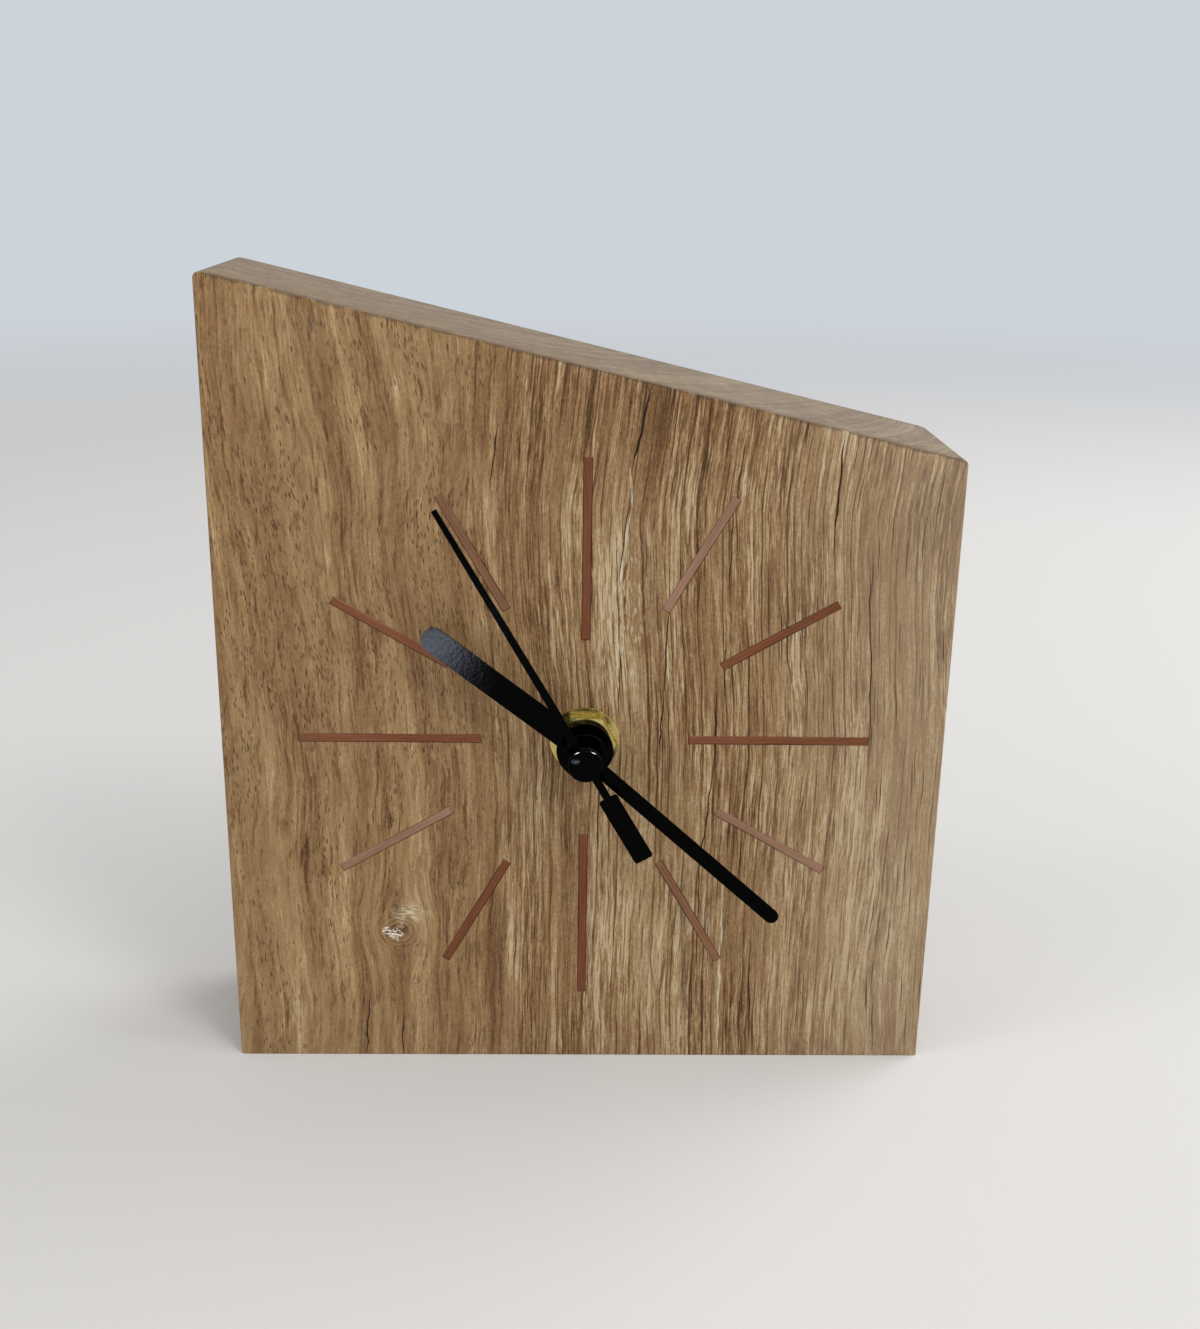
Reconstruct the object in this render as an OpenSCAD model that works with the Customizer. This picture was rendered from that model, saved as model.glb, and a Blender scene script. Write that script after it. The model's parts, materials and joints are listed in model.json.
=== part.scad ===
// Desk clock: a slant-topped oak block with copper hour bars let into its face and a battery movement
// Seen from the front, X runs to the right, Y runs back into the block and Z is up.
// The origin is the centre of the rectangle that the block stands on. Sizes are in millimetres.

/* [Block] */
// Width of the block
block_w = 160; // [150:1:175]
// Height of the left side
left_h = 180; // [170:1:200]
// Height of the right side
right_h = 143; // [135:1:155]
// Thickness of the block from front to back
block_t = 42; // [38:1:55]
// Radius of the two upright edges at the back
back_edge_r = 3.5; // [1.5:0.5:6]
// Radius of the two upright edges at the front
front_edge_r = 0.8; // [0.4:0.1:1.4]
// Radius of the two top corners, seen from the front
top_corner_r = 1.5; // [0.5:0.1:4]
// Height of the dial's centre above the base
dial_height = 80; // [76:1:84]

/* [Hour bars] */
// Radius of the circle on which the bars end
ring_r = 63; // [58:0.5:66]
// Length of the bars at 12, 3, 6 and 9 o'clock
long_bar_l = 40; // [30:0.5:44]
// Length of the other eight bars
short_bar_l = 28.7; // [20:0.1:36]
// Width of a bar
bar_w = 1.9; // [1.5:0.1:3]
// Depth of a bar below the face
bar_depth = 3; // [2:0.5:5]
// Gap round a bar in its groove
bar_gap = 0.05; // [0.02:0.01:0.15]

/* [Fixing of the movement] */
// Thickness of wood between the recess and the face
dial_wall = 8; // [6:0.5:10]
// Space round the movement in the recess
recess_gap = 3; // [2:0.5:6]
// Corner radius of the recess, left by the router bit
recess_corner_r = 6; // [3:0.5:8]
// Hole through the face for the threaded bush
stem_hole_d = 9.5; // [8.5:0.1:11]
// Outer diameter of the threaded bush
bush_d = 7.9; // [7.5:0.1:8.3]
// Thread that stands out of the nut
bush_tip = 0.6; // [0.4:0.1:1.5]
// Diameter of the shoulder that holds the bush in the case
bush_flange_d = 12; // [10.5:0.5:14]
// Chamfer at the end of the thread
bush_chamfer = 0.3; // [0.1:0.1:0.5]
// Radial clearance of the gasket and the washer on the bush
bush_gap = 0.1; // [0.05:0.05:0.3]
// Outer diameter of the rubber gasket
gasket_d = 18; // [14:0.5:22]
// Thickness of the rubber gasket
gasket_t = 0.8; // [0.5:0.1:1.5]
// Outer diameter of the brass washer
washer_d = 15.4; // [12.4:0.1:16]
// Thickness of the brass washer
washer_t = 0.6; // [0.4:0.1:1]
// Width of the nut across its flats
nut_af = 12; // [10.5:0.1:12.5]
// Thickness of the nut
nut_t = 2.6; // [1.5:0.1:3]
// Turn of the nut's first corner, clockwise from 12 o'clock
nut_turn = 2; // [0:1:60]
// Height of the chamfer on the nut's corners
nut_chamfer = 0.4; // [0.2:0.1:0.8]

/* [Hands] */
// Length of the hour hand from the centre
hour_hand_l = 43.5; // [36:0.5:50]
// Width of the hour hand
hour_hand_w = 5.5; // [4:0.1:7]
// Diameter of the hour hand's eye
hour_eye_d = 12.4; // [11:0.1:14]
// Length of the minute hand from the centre
minute_hand_l = 58; // [50:0.5:64]
// Width of the minute hand
minute_hand_w = 3.2; // [2.4:0.1:4.5]
// Diameter of the minute hand's eye
minute_eye_d = 10.3; // [9:0.1:11]
// Length of the second hand from the centre
second_hand_l = 62.7; // [55:0.1:70]
// Width of the second hand at its tip
second_tip_w = 1.2; // [0.8:0.1:1.6]
// Width of the second hand at the centre
second_root_w = 1.9; // [1.5:0.1:2.6]
// Reach of the second hand's tail from the centre
tail_l = 26.4; // [22:0.1:32]
// Width of the tail's neck
neck_w = 1.7; // [1.2:0.1:2.4]
// Length of the counterweight at the end of the tail
weight_l = 16.7; // [12:0.1:18]
// Width of the counterweight
weight_w = 4.3; // [3:0.1:6]
// Chamfer on the counterweight's corners
weight_chamfer = 0.4; // [0.2:0.1:0.8]
// Sheet thickness of the hour and minute hands
hand_t = 0.5; // [0.3:0.1:0.8]
// Sheet thickness of the second hand
second_hand_t = 0.4; // [0.3:0.1:0.6]
// Gap from the end of the thread to the hour hand
hour_hand_gap = 2.8; // [2.4:0.1:4.5]
// Gap from the hour hand to the minute hand
minute_hand_gap = 3.3; // [2.6:0.1:4.5]
// Gap from the minute hand to the second hand
second_hand_gap = 2.1; // [1.6:0.1:3]
// Diameter of the cap on the second hand
cap_d = 7.4; // [6:0.1:8.8]
// Height of the cap
cap_h = 3.1; // [2.4:0.1:4]
// Rounding of the cap's rim
cap_edge_r = 0.5; // [0.2:0.1:0.8]
// Rise of the cap's domed face
cap_dome = 0.3; // [0.1:0.1:0.6]
// Direction of the hour hand, clockwise from 12 o'clock
hour_hand_turn = 307.5; // [0:0.5:360]
// Direction of the minute hand, clockwise from 12 o'clock
minute_hand_turn = 132; // [0:0.5:360]
// Direction of the second hand, clockwise from 12 o'clock
second_hand_turn = 330; // [0:0.5:360]

/* [Arbors] */
// Diameter of the arbor that carries the second hand
second_arbor_d = 1.2; // [1:0.1:1.4]
// Diameter of the tube that carries the minute hand
minute_arbor_d = 3.6; // [3.2:0.1:3.8]
// Diameter of the pipe that carries the hour hand
hour_pipe_d = 5.2; // [4.9:0.1:5.6]
// Diameter of the small wheels' arbors
train_arbor_d = 1; // [0.9:0.05:1.1]
// Diameter of the pivots at their ends
pivot_d = 0.7; // [0.6:0.05:0.8]
// Wall of the collets pressed into the hands
collet_wall = 0.9; // [0.7:0.1:1.2]
// Wall of a collet where it passes through its hand
collet_neck = 0.3; // [0.2:0.05:0.5]
// Height of a collet below its hand
collet_h = 1.6; // [1:0.1:1.8]
// Wall of the tube that grips the second arbor
second_tube_wall = 0.6; // [0.4:0.1:0.8]
// Radial clearance of everything that turns in a hole
running_gap = 0.05; // [0.03:0.01:0.08]

/* [Gear train] */
// Distance from the dial's centre to the third wheel
third_distance = 10.4; // [10.2:0.1:10.8]
// Distance from the dial's centre to the setting wheel
motion_distance = 11.5; // [11.3:0.1:12]
// Distance from the dial's centre to the intermediate wheel
inter_distance = 7.85; // [7.6:0.05:8.1]
// Distance from the intermediate wheel to the rotor
rotor_distance = 6.7; // [6.5:0.1:6.9]
// Face width of the wheels
wheel_t = 1; // [0.8:0.1:1.2]
// Gap between one layer of the train and the next
layer_gap = 0.5; // [0.4:0.05:0.7]
// Thickness of the two plates that hold the train
plate_t = 0.8; // [0.6:0.1:1.2]
// Play between the teeth of a pair, along the pitch circle
backlash = 0.05; // [0.03:0.01:0.08]

/* [Motor] */
// Diameter of the rotor magnet
magnet_d = 5.6; // [5:0.1:6]
// Thickness of the rotor magnet
magnet_t = 2.2; // [1.8:0.1:2.8]
// Air gap between the magnet and the stator
air_gap = 0.5; // [0.3:0.05:0.7]
// Thickness of the stator plate
stator_t = 0.9; // [0.7:0.1:1.2]
// Thickness of the coil's iron core
core_t = 1; // [0.8:0.1:1.2]
// Width of the coil's iron core
core_w = 3; // [2.4:0.1:3.2]
// Distance between the two screws of the coil
coil_span = 15.2; // [14.6:0.1:16]
// Height of the coil above the dial's centre
coil_y = 15.8; // [15.6:0.1:17]
// Diameter of the coil's flanges
coil_flange_d = 8; // [7.4:0.1:8.2]
// Diameter of the winding
winding_d = 7.2; // [6.4:0.1:7.3]
// Thickness of the coil's flanges
flange_t = 0.9; // [0.7:0.1:1.1]
// Width of the stator's ring round the magnet
stator_rim = 1.3; // [1:0.1:1.5]

/* [Movement case] */
// Wall thickness of the case
case_wall = 1.5; // [1.2:0.1:2]
// Height of the case above the dial's centre
case_top = 28; // [27.5:0.5:31]
// Radius of the case's upright corners
case_r = 2.5; // [1:0.1:4]
// Thickness of the rear cover
cover_t = 1.5; // [1.2:0.1:2]
// Depth of the lip that centres the cover in the case
lip_h = 1.2; // [0.8:0.1:1.3]
// Thickness of the lip
lip_t = 1; // [0.7:0.1:1.3]
// Clearance of the cover in the case
lip_gap = 0.1; // [0.05:0.01:0.2]
// Length of the four lugs that snap the cover into the case
lug_l = 5; // [3:0.5:7]
// Height of a lug
lug_h = 0.5; // [0.4:0.05:0.6]
// Reach of a lug into the wall of the case
lug_reach = 0.7; // [0.4:0.1:1]
// Width of the shallow panel in the back of the cover
panel_w = 17; // [12:1:20]
// Height of the panel
panel_h = 24; // [16:1:28]
// Depth of the panel and of the groove round the knob
panel_depth = 0.3; // [0.2:0.1:0.5]
// Thickness of the circuit board
board_t = 0.8; // [0.6:0.1:1]
// Diameter of the small screws' heads
screw_head_d = 2.8; // [2.4:0.1:3.2]
// Height of the small screws' heads
screw_head_h = 1; // [0.7:0.1:1.2]
// Diameter of the small screws
screw_d = 1.4; // [1.2:0.1:1.6]
// Radial clearance of the small screws in the pieces that they hold
screw_gap = 0.1; // [0.05:0.05:0.2]
// Bite of the small screws in the posts
screw_bite = 3; // [2:0.1:3.5]

/* [Battery] */
// Diameter of the battery
battery_d = 14.5; // [13.5:0.1:14.5]
// Length of the battery with its raised contact
battery_l = 50.5; // [49.5:0.1:51]
// Diameter of the battery's raised contact
nub_d = 5.5; // [4:0.1:5.8]
// Height of the battery's raised contact
nub_h = 1.2; // [1:0.1:1.6]
// Space round the battery in its bay
battery_gap = 0.35; // [0.2:0.05:0.6]
// Thickness of the contact strips
contact_t = 0.4; // [0.3:0.05:0.5]
// Room for the springy contact at the flat end
spring_room = 2.1; // [1.6:0.1:3]
// Width of the flat contact
flat_contact_w = 9; // [7:0.5:11]
// Width of the springy contact
spring_w = 6; // [4:0.5:8]
// Width of the strips that lead to the circuit board
strip_w = 2.8; // [2:0.1:3]

/* [Setting knob] */
// Diameter of the knob
knob_d = 13; // [10:0.5:15]
// Thickness of the knob
knob_t = 3.6; // [2.5:0.1:5]
// Diameter of the knob's stem
knob_stem_d = 2; // [1.8:0.1:2.2]
// Number of finger grooves round the knob
knob_grooves = 18; // [12:1:24]
// Radius of a finger groove
groove_r = 0.7; // [0.5:0.1:0.9]
// Gap between the cover and the knob
knob_gap = 0.6; // [0.4:0.1:1.2]
// Width of the knob's raised rim
knob_rim_w = 2.2; // [1.5:0.1:2.6]
// Depth of the hollow inside the rim
knob_hollow = 0.6; // [0.3:0.1:1.2]

/* [Hidden] */
$fn = 48;

// Overshoot of a cut beyond the face that it opens
cut = 1;
// End play of a pivot between its two plates
end_play = 0.1;
// Seat of the centre wheel on the minute arbor, where the clutch slips, and the hub round it
clutch_step = 0.4;
clutch_r = minute_arbor_d / 2 - clutch_step;
hub_wall = 0.65;
centre_hub_r = clutch_r + running_gap + hub_wall;
hub_gap = 0.2;
motion_hub_wall = 0.8;
oak = [0.66, 0.5, 0.34];
copper = [0.6, 0.36, 0.26];
brass = [0.82, 0.68, 0.33];
black_paint = [0.03, 0.03, 0.03];
black_plastic = [0.09, 0.09, 0.1];
white_plastic = [0.9, 0.89, 0.84];
steel = [0.7, 0.71, 0.73];

// Fall of the top edge, from left to right
top_fall = atan((left_h - right_h) / block_w);

// Tooth counts, which fix the ratios of a clock: 30 to 1 from rotor to seconds, 60 to 1 from
// seconds to minutes and 12 to 1 from minutes to hours
rotor_teeth = 8;
inter_teeth = 40;
inter_leaves = 8;
seconds_teeth = 48;
seconds_leaves = 8;
third_teeth = 64;
third_leaves = 8;
centre_teeth = 60;
cannon_leaves = 12;
motion_teeth = 36;
motion_leaves = 10;
hour_teeth = 40;
pressure_angle = 20;
// Fewest teeth that a rack cuts without undercutting them
full_teeth = 17;
// Height of a tooth above and below its pitch circle, in modules; short, so that no pinion is pointed
addendum = 0.8;
dedendum = 1.05;
// Points on each tooth flank
flank_points = 3;

// Modules that bring each pair to its centre distance
rotor_m = 2 * rotor_distance / (rotor_teeth + inter_teeth);
inter_m = 2 * inter_distance / (inter_leaves + seconds_teeth);
seconds_m = 2 * third_distance / (seconds_leaves + third_teeth);
third_m = 2 * third_distance / (third_leaves + centre_teeth);
cannon_m = 2 * motion_distance / (cannon_leaves + motion_teeth);
hour_m = 2 * motion_distance / (motion_leaves + hour_teeth);

// Places of the arbors, seen from the front with the dial's centre at zero
third_dir = 180;
motion_dir = 105;
inter_dir = 15;
rotor_dir = 5;
third_at = polar(third_distance, third_dir);
motion_at = polar(motion_distance, motion_dir);
inter_at = polar(inter_distance, inter_dir);
rotor_at = inter_at + polar(rotor_distance, rotor_dir);

// Turns that put every pair in mesh when the hands stand as given
intermediate_leaf_turn = mesh_turn(inter_dir, 0, seconds_teeth, inter_leaves);
rotor_turn = mesh_turn(rotor_dir, 0, inter_teeth, rotor_teeth);
third_turn = mesh_turn(third_dir, 0, seconds_leaves, third_teeth);
centre_turn = mesh_turn(third_dir + 180, 0, third_leaves, centre_teeth);
motion_turn = mesh_turn(motion_dir, 0, cannon_leaves, motion_teeth);
hour_turn = mesh_turn(motion_dir + 180, 0, motion_leaves, hour_teeth);

// Depths behind the front of the case, one layer after another; the battery lies just below its back
cell_sink = 0.15;
hour_at_d = case_wall + layer_gap;
motion_at_d = hour_at_d + wheel_t + layer_gap;
centre_at_d = motion_at_d + wheel_t + layer_gap;
middle_at_d = centre_at_d + wheel_t + layer_gap;
third_at_d = middle_at_d + plate_t + layer_gap;
seconds_at_d = third_at_d + wheel_t + layer_gap;
bridge_at_d = seconds_at_d + magnet_t + layer_gap;
bridge_end_d = bridge_at_d + plate_t;
train_d = bridge_end_d + screw_head_h + layer_gap + cover_t;
cell_d = case_wall + battery_gap + battery_d / 2;
case_d = max(train_d, cell_d + battery_d / 2 + cell_sink);
cover_at_d = case_d - cover_t;
stator_at_d = seconds_at_d + (magnet_t - stator_t) / 2;
core_at_d = stator_at_d - core_t;
board_at_d = stator_at_d;
board_end_d = board_at_d + board_t;

// Outline of the case: its train room above and its battery bay below
floor_gap = 0.75;
half_w = (battery_l + contact_t + spring_room) / 2 + case_wall;
room_half_w = half_w - case_wall;
room_top = case_top - case_wall;
room_floor = -(tip_r(hour_teeth, hour_m, -shift_for(motion_leaves)) + floor_gap);
bay_wall = 1;
bay_top = room_floor - bay_wall;
cell_y = bay_top - battery_gap - battery_d / 2;
case_bottom = cell_y - battery_d / 2 - battery_gap - case_wall;
case_h = case_top - case_bottom;
case_mid_y = (case_top + case_bottom) / 2;
panel_x = half_w - panel_w / 2 - 3.5;
panel_y = (case_top + room_floor) / 2;
panel_corner_r = 1;
cell_right = room_half_w - contact_t;
cell_left = cell_right - battery_l;
bay_r = battery_d / 2 + battery_gap;

// Plates and the pillars that carry them
pillar_r = 1.9;
pillar_edge = 0.8;
plate_gap = 0.4;
plate_corner_r = 1.5;
plate_half_w = room_half_w - plate_gap;
plate_bottom = room_floor + plate_gap;
plate_top = coil_y - coil_flange_d / 2 - plate_gap;
pillar_x = plate_half_w - pillar_r - pillar_edge;
pillar_low_y = plate_bottom + pillar_r + pillar_edge;
pillar_high_y = 5;
pillars = [for (x = [-pillar_x, pillar_x], y = [pillar_low_y, pillar_high_y]) [x, y]];
screw_slot_w = 0.4;
window_r = 2.2;
window_ring_r = 5.6;

// Lightening holes of a wheel, as shares of the radius at the foot of its teeth
hole_ring = 0.56;
hole_size = 0.2;

// Coil, with its middle a little to the right of the rotor
coil_shift = 0.95;
coil_mid_x = rotor_at[0] + coil_shift;
coil_ends = [for (s = [-1, 1]) [coil_mid_x + s * coil_span / 2, coil_y]];
coil_post_r = 1.8;
coil_end_gap = 0.2;
coil_l = coil_span - 2 * (coil_post_r + coil_end_gap);
coil_axis_d = core_at_d + core_t / 2;
bobbin_r = 2.1;
foot_l = 4;
foot_t = 1.6;
stator_arm = [2.9, 1.5];
stator_elbow_y = coil_y - coil_flange_d / 2 - core_w / 2 - coil_end_gap;
stator_notch_r = 0.35;

// Circuit board beside the coil, with an arm above it
board_edge_gap = 1;
board_coil_gap = 0.6;
board_plate_gap = 2.6;
board_left = board_edge_gap - room_half_w;
board_right = coil_ends[0][0] - coil_post_r - board_coil_gap;
board_bottom = plate_top + board_plate_gap;
board_top = room_top - board_edge_gap;
board_arm_y = coil_y + coil_flange_d / 2 + board_coil_gap;
board_arm_x = coil_mid_x - coil_l / 2 + foot_l;
board_post_r = 1.3;
board_pin_r = 0.5;
board_pin_h = 0.6;
board_posts = [for (x = [3, 15]) [board_left + x, board_top - 2.2]];
chip_at = [board_left + 9, board_bottom + 3.6];
chip_r = 2.4;
chip_h = 1.2;
crystal_at = [board_left + 19, board_top - 3];
crystal_r = 1;
crystal_l = 6;

// Battery contacts
tab_w = 3;
tab_inset = 5;
strip_slot_w = 1;
spring_foot = 6;
spring_tip = 2;
sleeve_t = 0.15;
sleeve_inset = 1.2;

// Heights above the face, along the stem; each tube stands out of its hand by its tip
pipe_tip = 0.5;
thread_end = washer_t + nut_t + bush_tip;
hour_hand_z = thread_end + hour_hand_gap;
hour_pipe_z = hour_hand_z + hand_t + pipe_tip;
minute_hand_z = hour_hand_z + hand_t + minute_hand_gap;
minute_arbor_z = minute_hand_z + hand_t + pipe_tip;
second_hand_z = minute_hand_z + hand_t + second_hand_gap;
second_arbor_z = second_hand_z + second_hand_t + cap_h / 2;
movement_z = -(dial_wall + gasket_t);
second_tube_r = second_arbor_d / 2 + second_tube_wall;
second_boss_w = 1.9;
tube_gap = 0.4;
bush_bore_r = hour_pipe_d / 2 + running_gap;

function bar_name(hour) = str("hour_bar_", hour < 10 ? "0" : "", hour);

function polar(r, a) = [r * cos(a), r * sin(a)];

// Involute of an angle, in degrees
function involute(a) = tan(a) * 180 / PI - a;

// Profile shift that saves a small pinion from undercutting; its wheel is shifted the other way
function shift_for(leaves) = (full_teeth - leaves) / full_teeth;

function tip_r(z, m, x) = m * (z / 2 + x + addendum);
function root_r(z, m, x) = m * (z / 2 + x - dedendum);
function base_r(z, m) = m * z / 2 * cos(pressure_angle);

// Half the angle that a tooth spans at radius r
function half_tooth(z, m, x, r) =
    (90 + 2 * x * tan(pressure_angle) * 180 / PI) / z - backlash * 90 / (PI * m * z)
    + involute(pressure_angle) - involute(acos(min(1, base_r(z, m) / r)));

// Outline of a gear with involute flanks, its first tooth on the X axis
function gear_points(z, m, x) =
    let (
        root = root_r(z, m, x),
        base = base_r(z, m),
        start = max(root, base),
        rise = (tip_r(z, m, x) - start) / (flank_points - 1),
        radii = [for (k = [0 : flank_points - 1]) start + k * rise],
        foot = root < base ? [root] : [],
        left = [for (k = [0 : flank_points - 1]) radii[flank_points - 1 - k]]
    )
    [for (i = [0 : z - 1]) each let (c = 360 * i / z) concat(
        [for (r = foot) polar(r, c - half_tooth(z, m, x, start))],
        [for (r = radii) polar(r, c - half_tooth(z, m, x, r))],
        [for (r = left) polar(r, c + half_tooth(z, m, x, r))],
        [for (r = foot) polar(r, c + half_tooth(z, m, x, start))]
    )];

// Turn of gear B, which lies in direction dir from gear A and meshes with it when A is turned by a
function mesh_turn(dir, a, teeth_a, teeth_b) =
    dir + 180 + 180 / teeth_b - (a - dir) * teeth_a / teeth_b;

// Frame of the dial: Y up, Z towards the viewer, zero on the face at the dial's centre
module at_dial() {
    translate([0, -block_t / 2, dial_height]) rotate([90, 0, 0]) children();
}

// The same frame with zero on the front of the movement's case
module at_movement() {
    at_dial() translate([0, 0, movement_z]) children();
}

// A flat shape made solid from depth d to depth d + t behind the frame's zero
module slab(d, t) {
    translate([0, 0, -d - t]) linear_extrude(t) children();
}

// A round hole or rod from depth d to depth d + t
module rod(at, r, d, t) {
    translate([at[0], at[1], -d - t]) cylinder(r = r, h = t);
}

module tube(r_out, r_in, z, h) {
    translate([0, 0, z]) difference() {
        cylinder(r = r_out, h = h);
        translate([0, 0, -cut]) cylinder(r = r_in, h = h + 2 * cut);
    }
}

module rounded_rect(w, h, r) {
    square([w - 2 * r, h], center = true);
    square([w, h - 2 * r], center = true);
    for (x = [-1, 1], y = [-1, 1])
        translate([x * (w / 2 - r), y * (h / 2 - r)]) circle(r);
}

// A flat bar with round ends from point a to point b
module link(a, b, w) {
    run = b - a;
    translate(a) rotate(atan2(run[1], run[0])) {
        translate([0, -w / 2]) square([norm(run), w]);
        circle(w / 2);
        translate([norm(run), 0]) circle(w / 2);
    }
}

module gear(at, teeth, m, x, turn, d, t) {
    translate([at[0], at[1], 0]) rotate(turn) slab(d, t) polygon(gear_points(teeth, m, x));
}

// A wheel lightened by a ring of round holes between its hub and its rim
module spoked_gear(at, teeth, m, x, turn, d, holes) {
    rim_r = root_r(teeth, m, x);
    translate([at[0], at[1], 0]) slab(d, wheel_t) difference() {
        rotate(turn) polygon(gear_points(teeth, m, x));
        for (i = [0 : holes - 1])
            translate(polar(rim_r * hole_ring, 360 * (i + 0.5) / holes)) circle(rim_r * hole_size);
    }
}

// Arbor with a thinner pivot at each end, from plate face d0 to plate face d1
module arbor(at, d0, d1) {
    rod(at, train_arbor_d / 2, d0 + end_play, d1 - d0 - 2 * end_play);
    rod(at, pivot_d / 2, d0 - plate_t + end_play, d1 - d0 + 2 * (plate_t - end_play));
}

// Plan of the block, seen from above
module block_plan() {
    for (s = [-1, 1]) {
        translate([s * (block_w / 2 - front_edge_r), -block_t / 2 + front_edge_r]) circle(front_edge_r);
        translate([s * (block_w / 2 - back_edge_r), block_t / 2 - back_edge_r]) circle(back_edge_r);
    }
    translate([-block_w / 2 + back_edge_r, -block_t / 2]) square([block_w - 2 * back_edge_r, block_t]);
    translate([-block_w / 2, -block_t / 2 + front_edge_r])
        square([block_w, block_t - front_edge_r - back_edge_r]);
    translate([-block_w / 2 + front_edge_r, -block_t / 2])
        square([block_w - 2 * front_edge_r, block_t / 2]);
}

// Height of the sloping top at a place across the block
function top_at(x) = left_h - (x + block_w / 2) * tan(top_fall);

// Points round a top corner on side s, from angle a0 to angle a1
function corner(s, a0, a1) =
    let (x = s * (block_w / 2 - top_corner_r), z = top_at(x) - top_corner_r / cos(top_fall))
    [for (k = [0 : 8]) [x, z] + polar(top_corner_r, a0 + (a1 - a0) * k / 8)];

// Front view of the block
module block_face() {
    polygon(concat([[-block_w / 2, 0], [block_w / 2, 0]], corner(1, 0, 90 - top_fall),
                   corner(-1, 90 - top_fall, 180)));
}

// Space of an hour bar, made wider by a gap on all sides and carried on past the face
module hour_bar_space(hour, gap, past_face) {
    bar_l = hour % 3 == 0 ? long_bar_l : short_bar_l;
    rotate(-30 * hour) translate([-bar_w / 2 - gap, ring_r - bar_l - gap, -bar_depth])
        cube([bar_w + 2 * gap, bar_l + 2 * gap, bar_depth + past_face]);
}

module case_outline(grow = 0) {
    translate([0, case_mid_y])
        rounded_rect(2 * (half_w + grow), case_h + 2 * grow, grow > 0 ? recess_corner_r : case_r);
}

// Oak block with the routed recess behind, the stem hole and the twelve grooves
module oak_block() color(oak) difference() {
    intersection() {
        linear_extrude(left_h) block_plan();
        rotate([90, 0, 0]) translate([0, 0, -block_t]) linear_extrude(2 * block_t) block_face();
    }
    at_dial() slab(dial_wall, block_t) case_outline(recess_gap);
    at_dial() rod([0, 0], stem_hole_d / 2, -cut, block_t);
    at_dial() for (hour = [1 : 12]) hour_bar_space(hour, bar_gap, cut);
}

module hour_bar(hour) color(copper) at_dial() hour_bar_space(hour, 0, 0);

module gasket() color([0.12, 0.12, 0.12]) at_dial()
    tube(gasket_d / 2, bush_d / 2 + bush_gap, movement_z, gasket_t);

module washer() color(brass) at_dial() tube(washer_d / 2, bush_d / 2 + bush_gap, 0, washer_t);

// Hexagonal nut with its outer corners turned off
module hex_nut() color(brass) at_dial() translate([0, 0, washer_t]) difference() {
    corner_r = nut_af / cos(30) / 2;
    intersection() {
        rotate(90 - nut_turn) cylinder(r = corner_r, h = nut_t, $fn = 6);
        rotate_extrude() polygon([[0, 0], [corner_r + cut, 0], [corner_r + cut, nut_t - nut_chamfer],
                                  [corner_r, nut_t - nut_chamfer], [nut_af / 2, nut_t], [0, nut_t]]);
    }
    translate([0, 0, -cut]) cylinder(d = bush_d, h = nut_t + 2 * cut);
}

// Threaded bush, held in the front of the case by its shoulder
module threaded_bush() color(brass) at_dial() {
    back_z = movement_z - case_wall;
    shoulder_z = back_z + case_wall / 2;
    rotate_extrude() polygon([
        [bush_bore_r, back_z], [bush_flange_d / 2, back_z], [bush_flange_d / 2, shoulder_z],
        [bush_d / 2, shoulder_z], [bush_d / 2, thread_end - bush_chamfer],
        [bush_d / 2 - bush_chamfer, thread_end], [bush_bore_r, thread_end]
    ]);
}

// Tray of black plastic: train room above, round-bottomed battery bay below, pillars inside
module front_case() color(black_plastic) at_movement() {
    difference() {
        union() {
            slab(0, cover_at_d) case_outline();
            slab(0, case_d) intersection() {
                case_outline();
                translate([-half_w, case_bottom]) square([2 * half_w, room_floor - case_bottom]);
            }
        }
        slab(case_wall, case_d) translate([-room_half_w, room_floor])
            square([2 * room_half_w, room_top - room_floor]);
        battery_bay();
        strip_slots();
        lugs(room_half_w - cut, half_w + cut, lip_gap);
        rod([0, 0], bush_d / 2, -cut, case_wall + 2 * cut);
        rod([0, 0], bush_flange_d / 2, case_wall / 2, case_wall);
        for (at = [third_at, motion_at]) pivot_hole(at, case_wall - plate_t, plate_t + cut);
        thumb_notch();
    }
    for (at = pillars) post(at, pillar_r, middle_at_d);
    for (at = coil_ends) post(at, coil_post_r, core_at_d);
    for (at = board_posts) {
        rod(at, board_post_r, case_wall, board_at_d - case_wall);
        rod(at, board_pin_r, board_at_d, board_t + board_pin_h);
    }
}

module pivot_hole(at, d, t) {
    rod(at, pivot_d / 2 + running_gap, d, t);
}

// Hollow post that takes a small screw
module post(at, r, end_d) difference() {
    hole_l = screw_bite + end_play;
    rod(at, r, case_wall, end_d - case_wall);
    rod(at, screw_d / 2, end_d - hole_l, hole_l + cut);
}

module battery_bay() {
    translate([-room_half_w, cell_y, -cell_d]) rotate([0, 90, 0]) cylinder(r = bay_r, h = 2 * room_half_w);
    slab(cell_d, case_d) translate([-room_half_w, cell_y - bay_r]) square([2 * room_half_w, 2 * bay_r]);
}

// Slots in the wall between room and bay for the two contact strips
module strip_slots() {
    for (s = [-1, 1])
        slab(board_end_d - lip_gap, case_d)
            translate([s * (room_half_w - strip_slot_w / 2) - strip_slot_w / 2, bay_top - cut])
            square([strip_slot_w, bay_wall + 2 * cut]);
}

// Hollow in the lower wall that lets a finger lift the battery out
module thumb_notch() {
    translate([0, case_bottom, -case_d]) rotate([90, 0, 0])
        cylinder(r = case_d - cell_d, h = 4 * case_wall, center = true);
}

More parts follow.
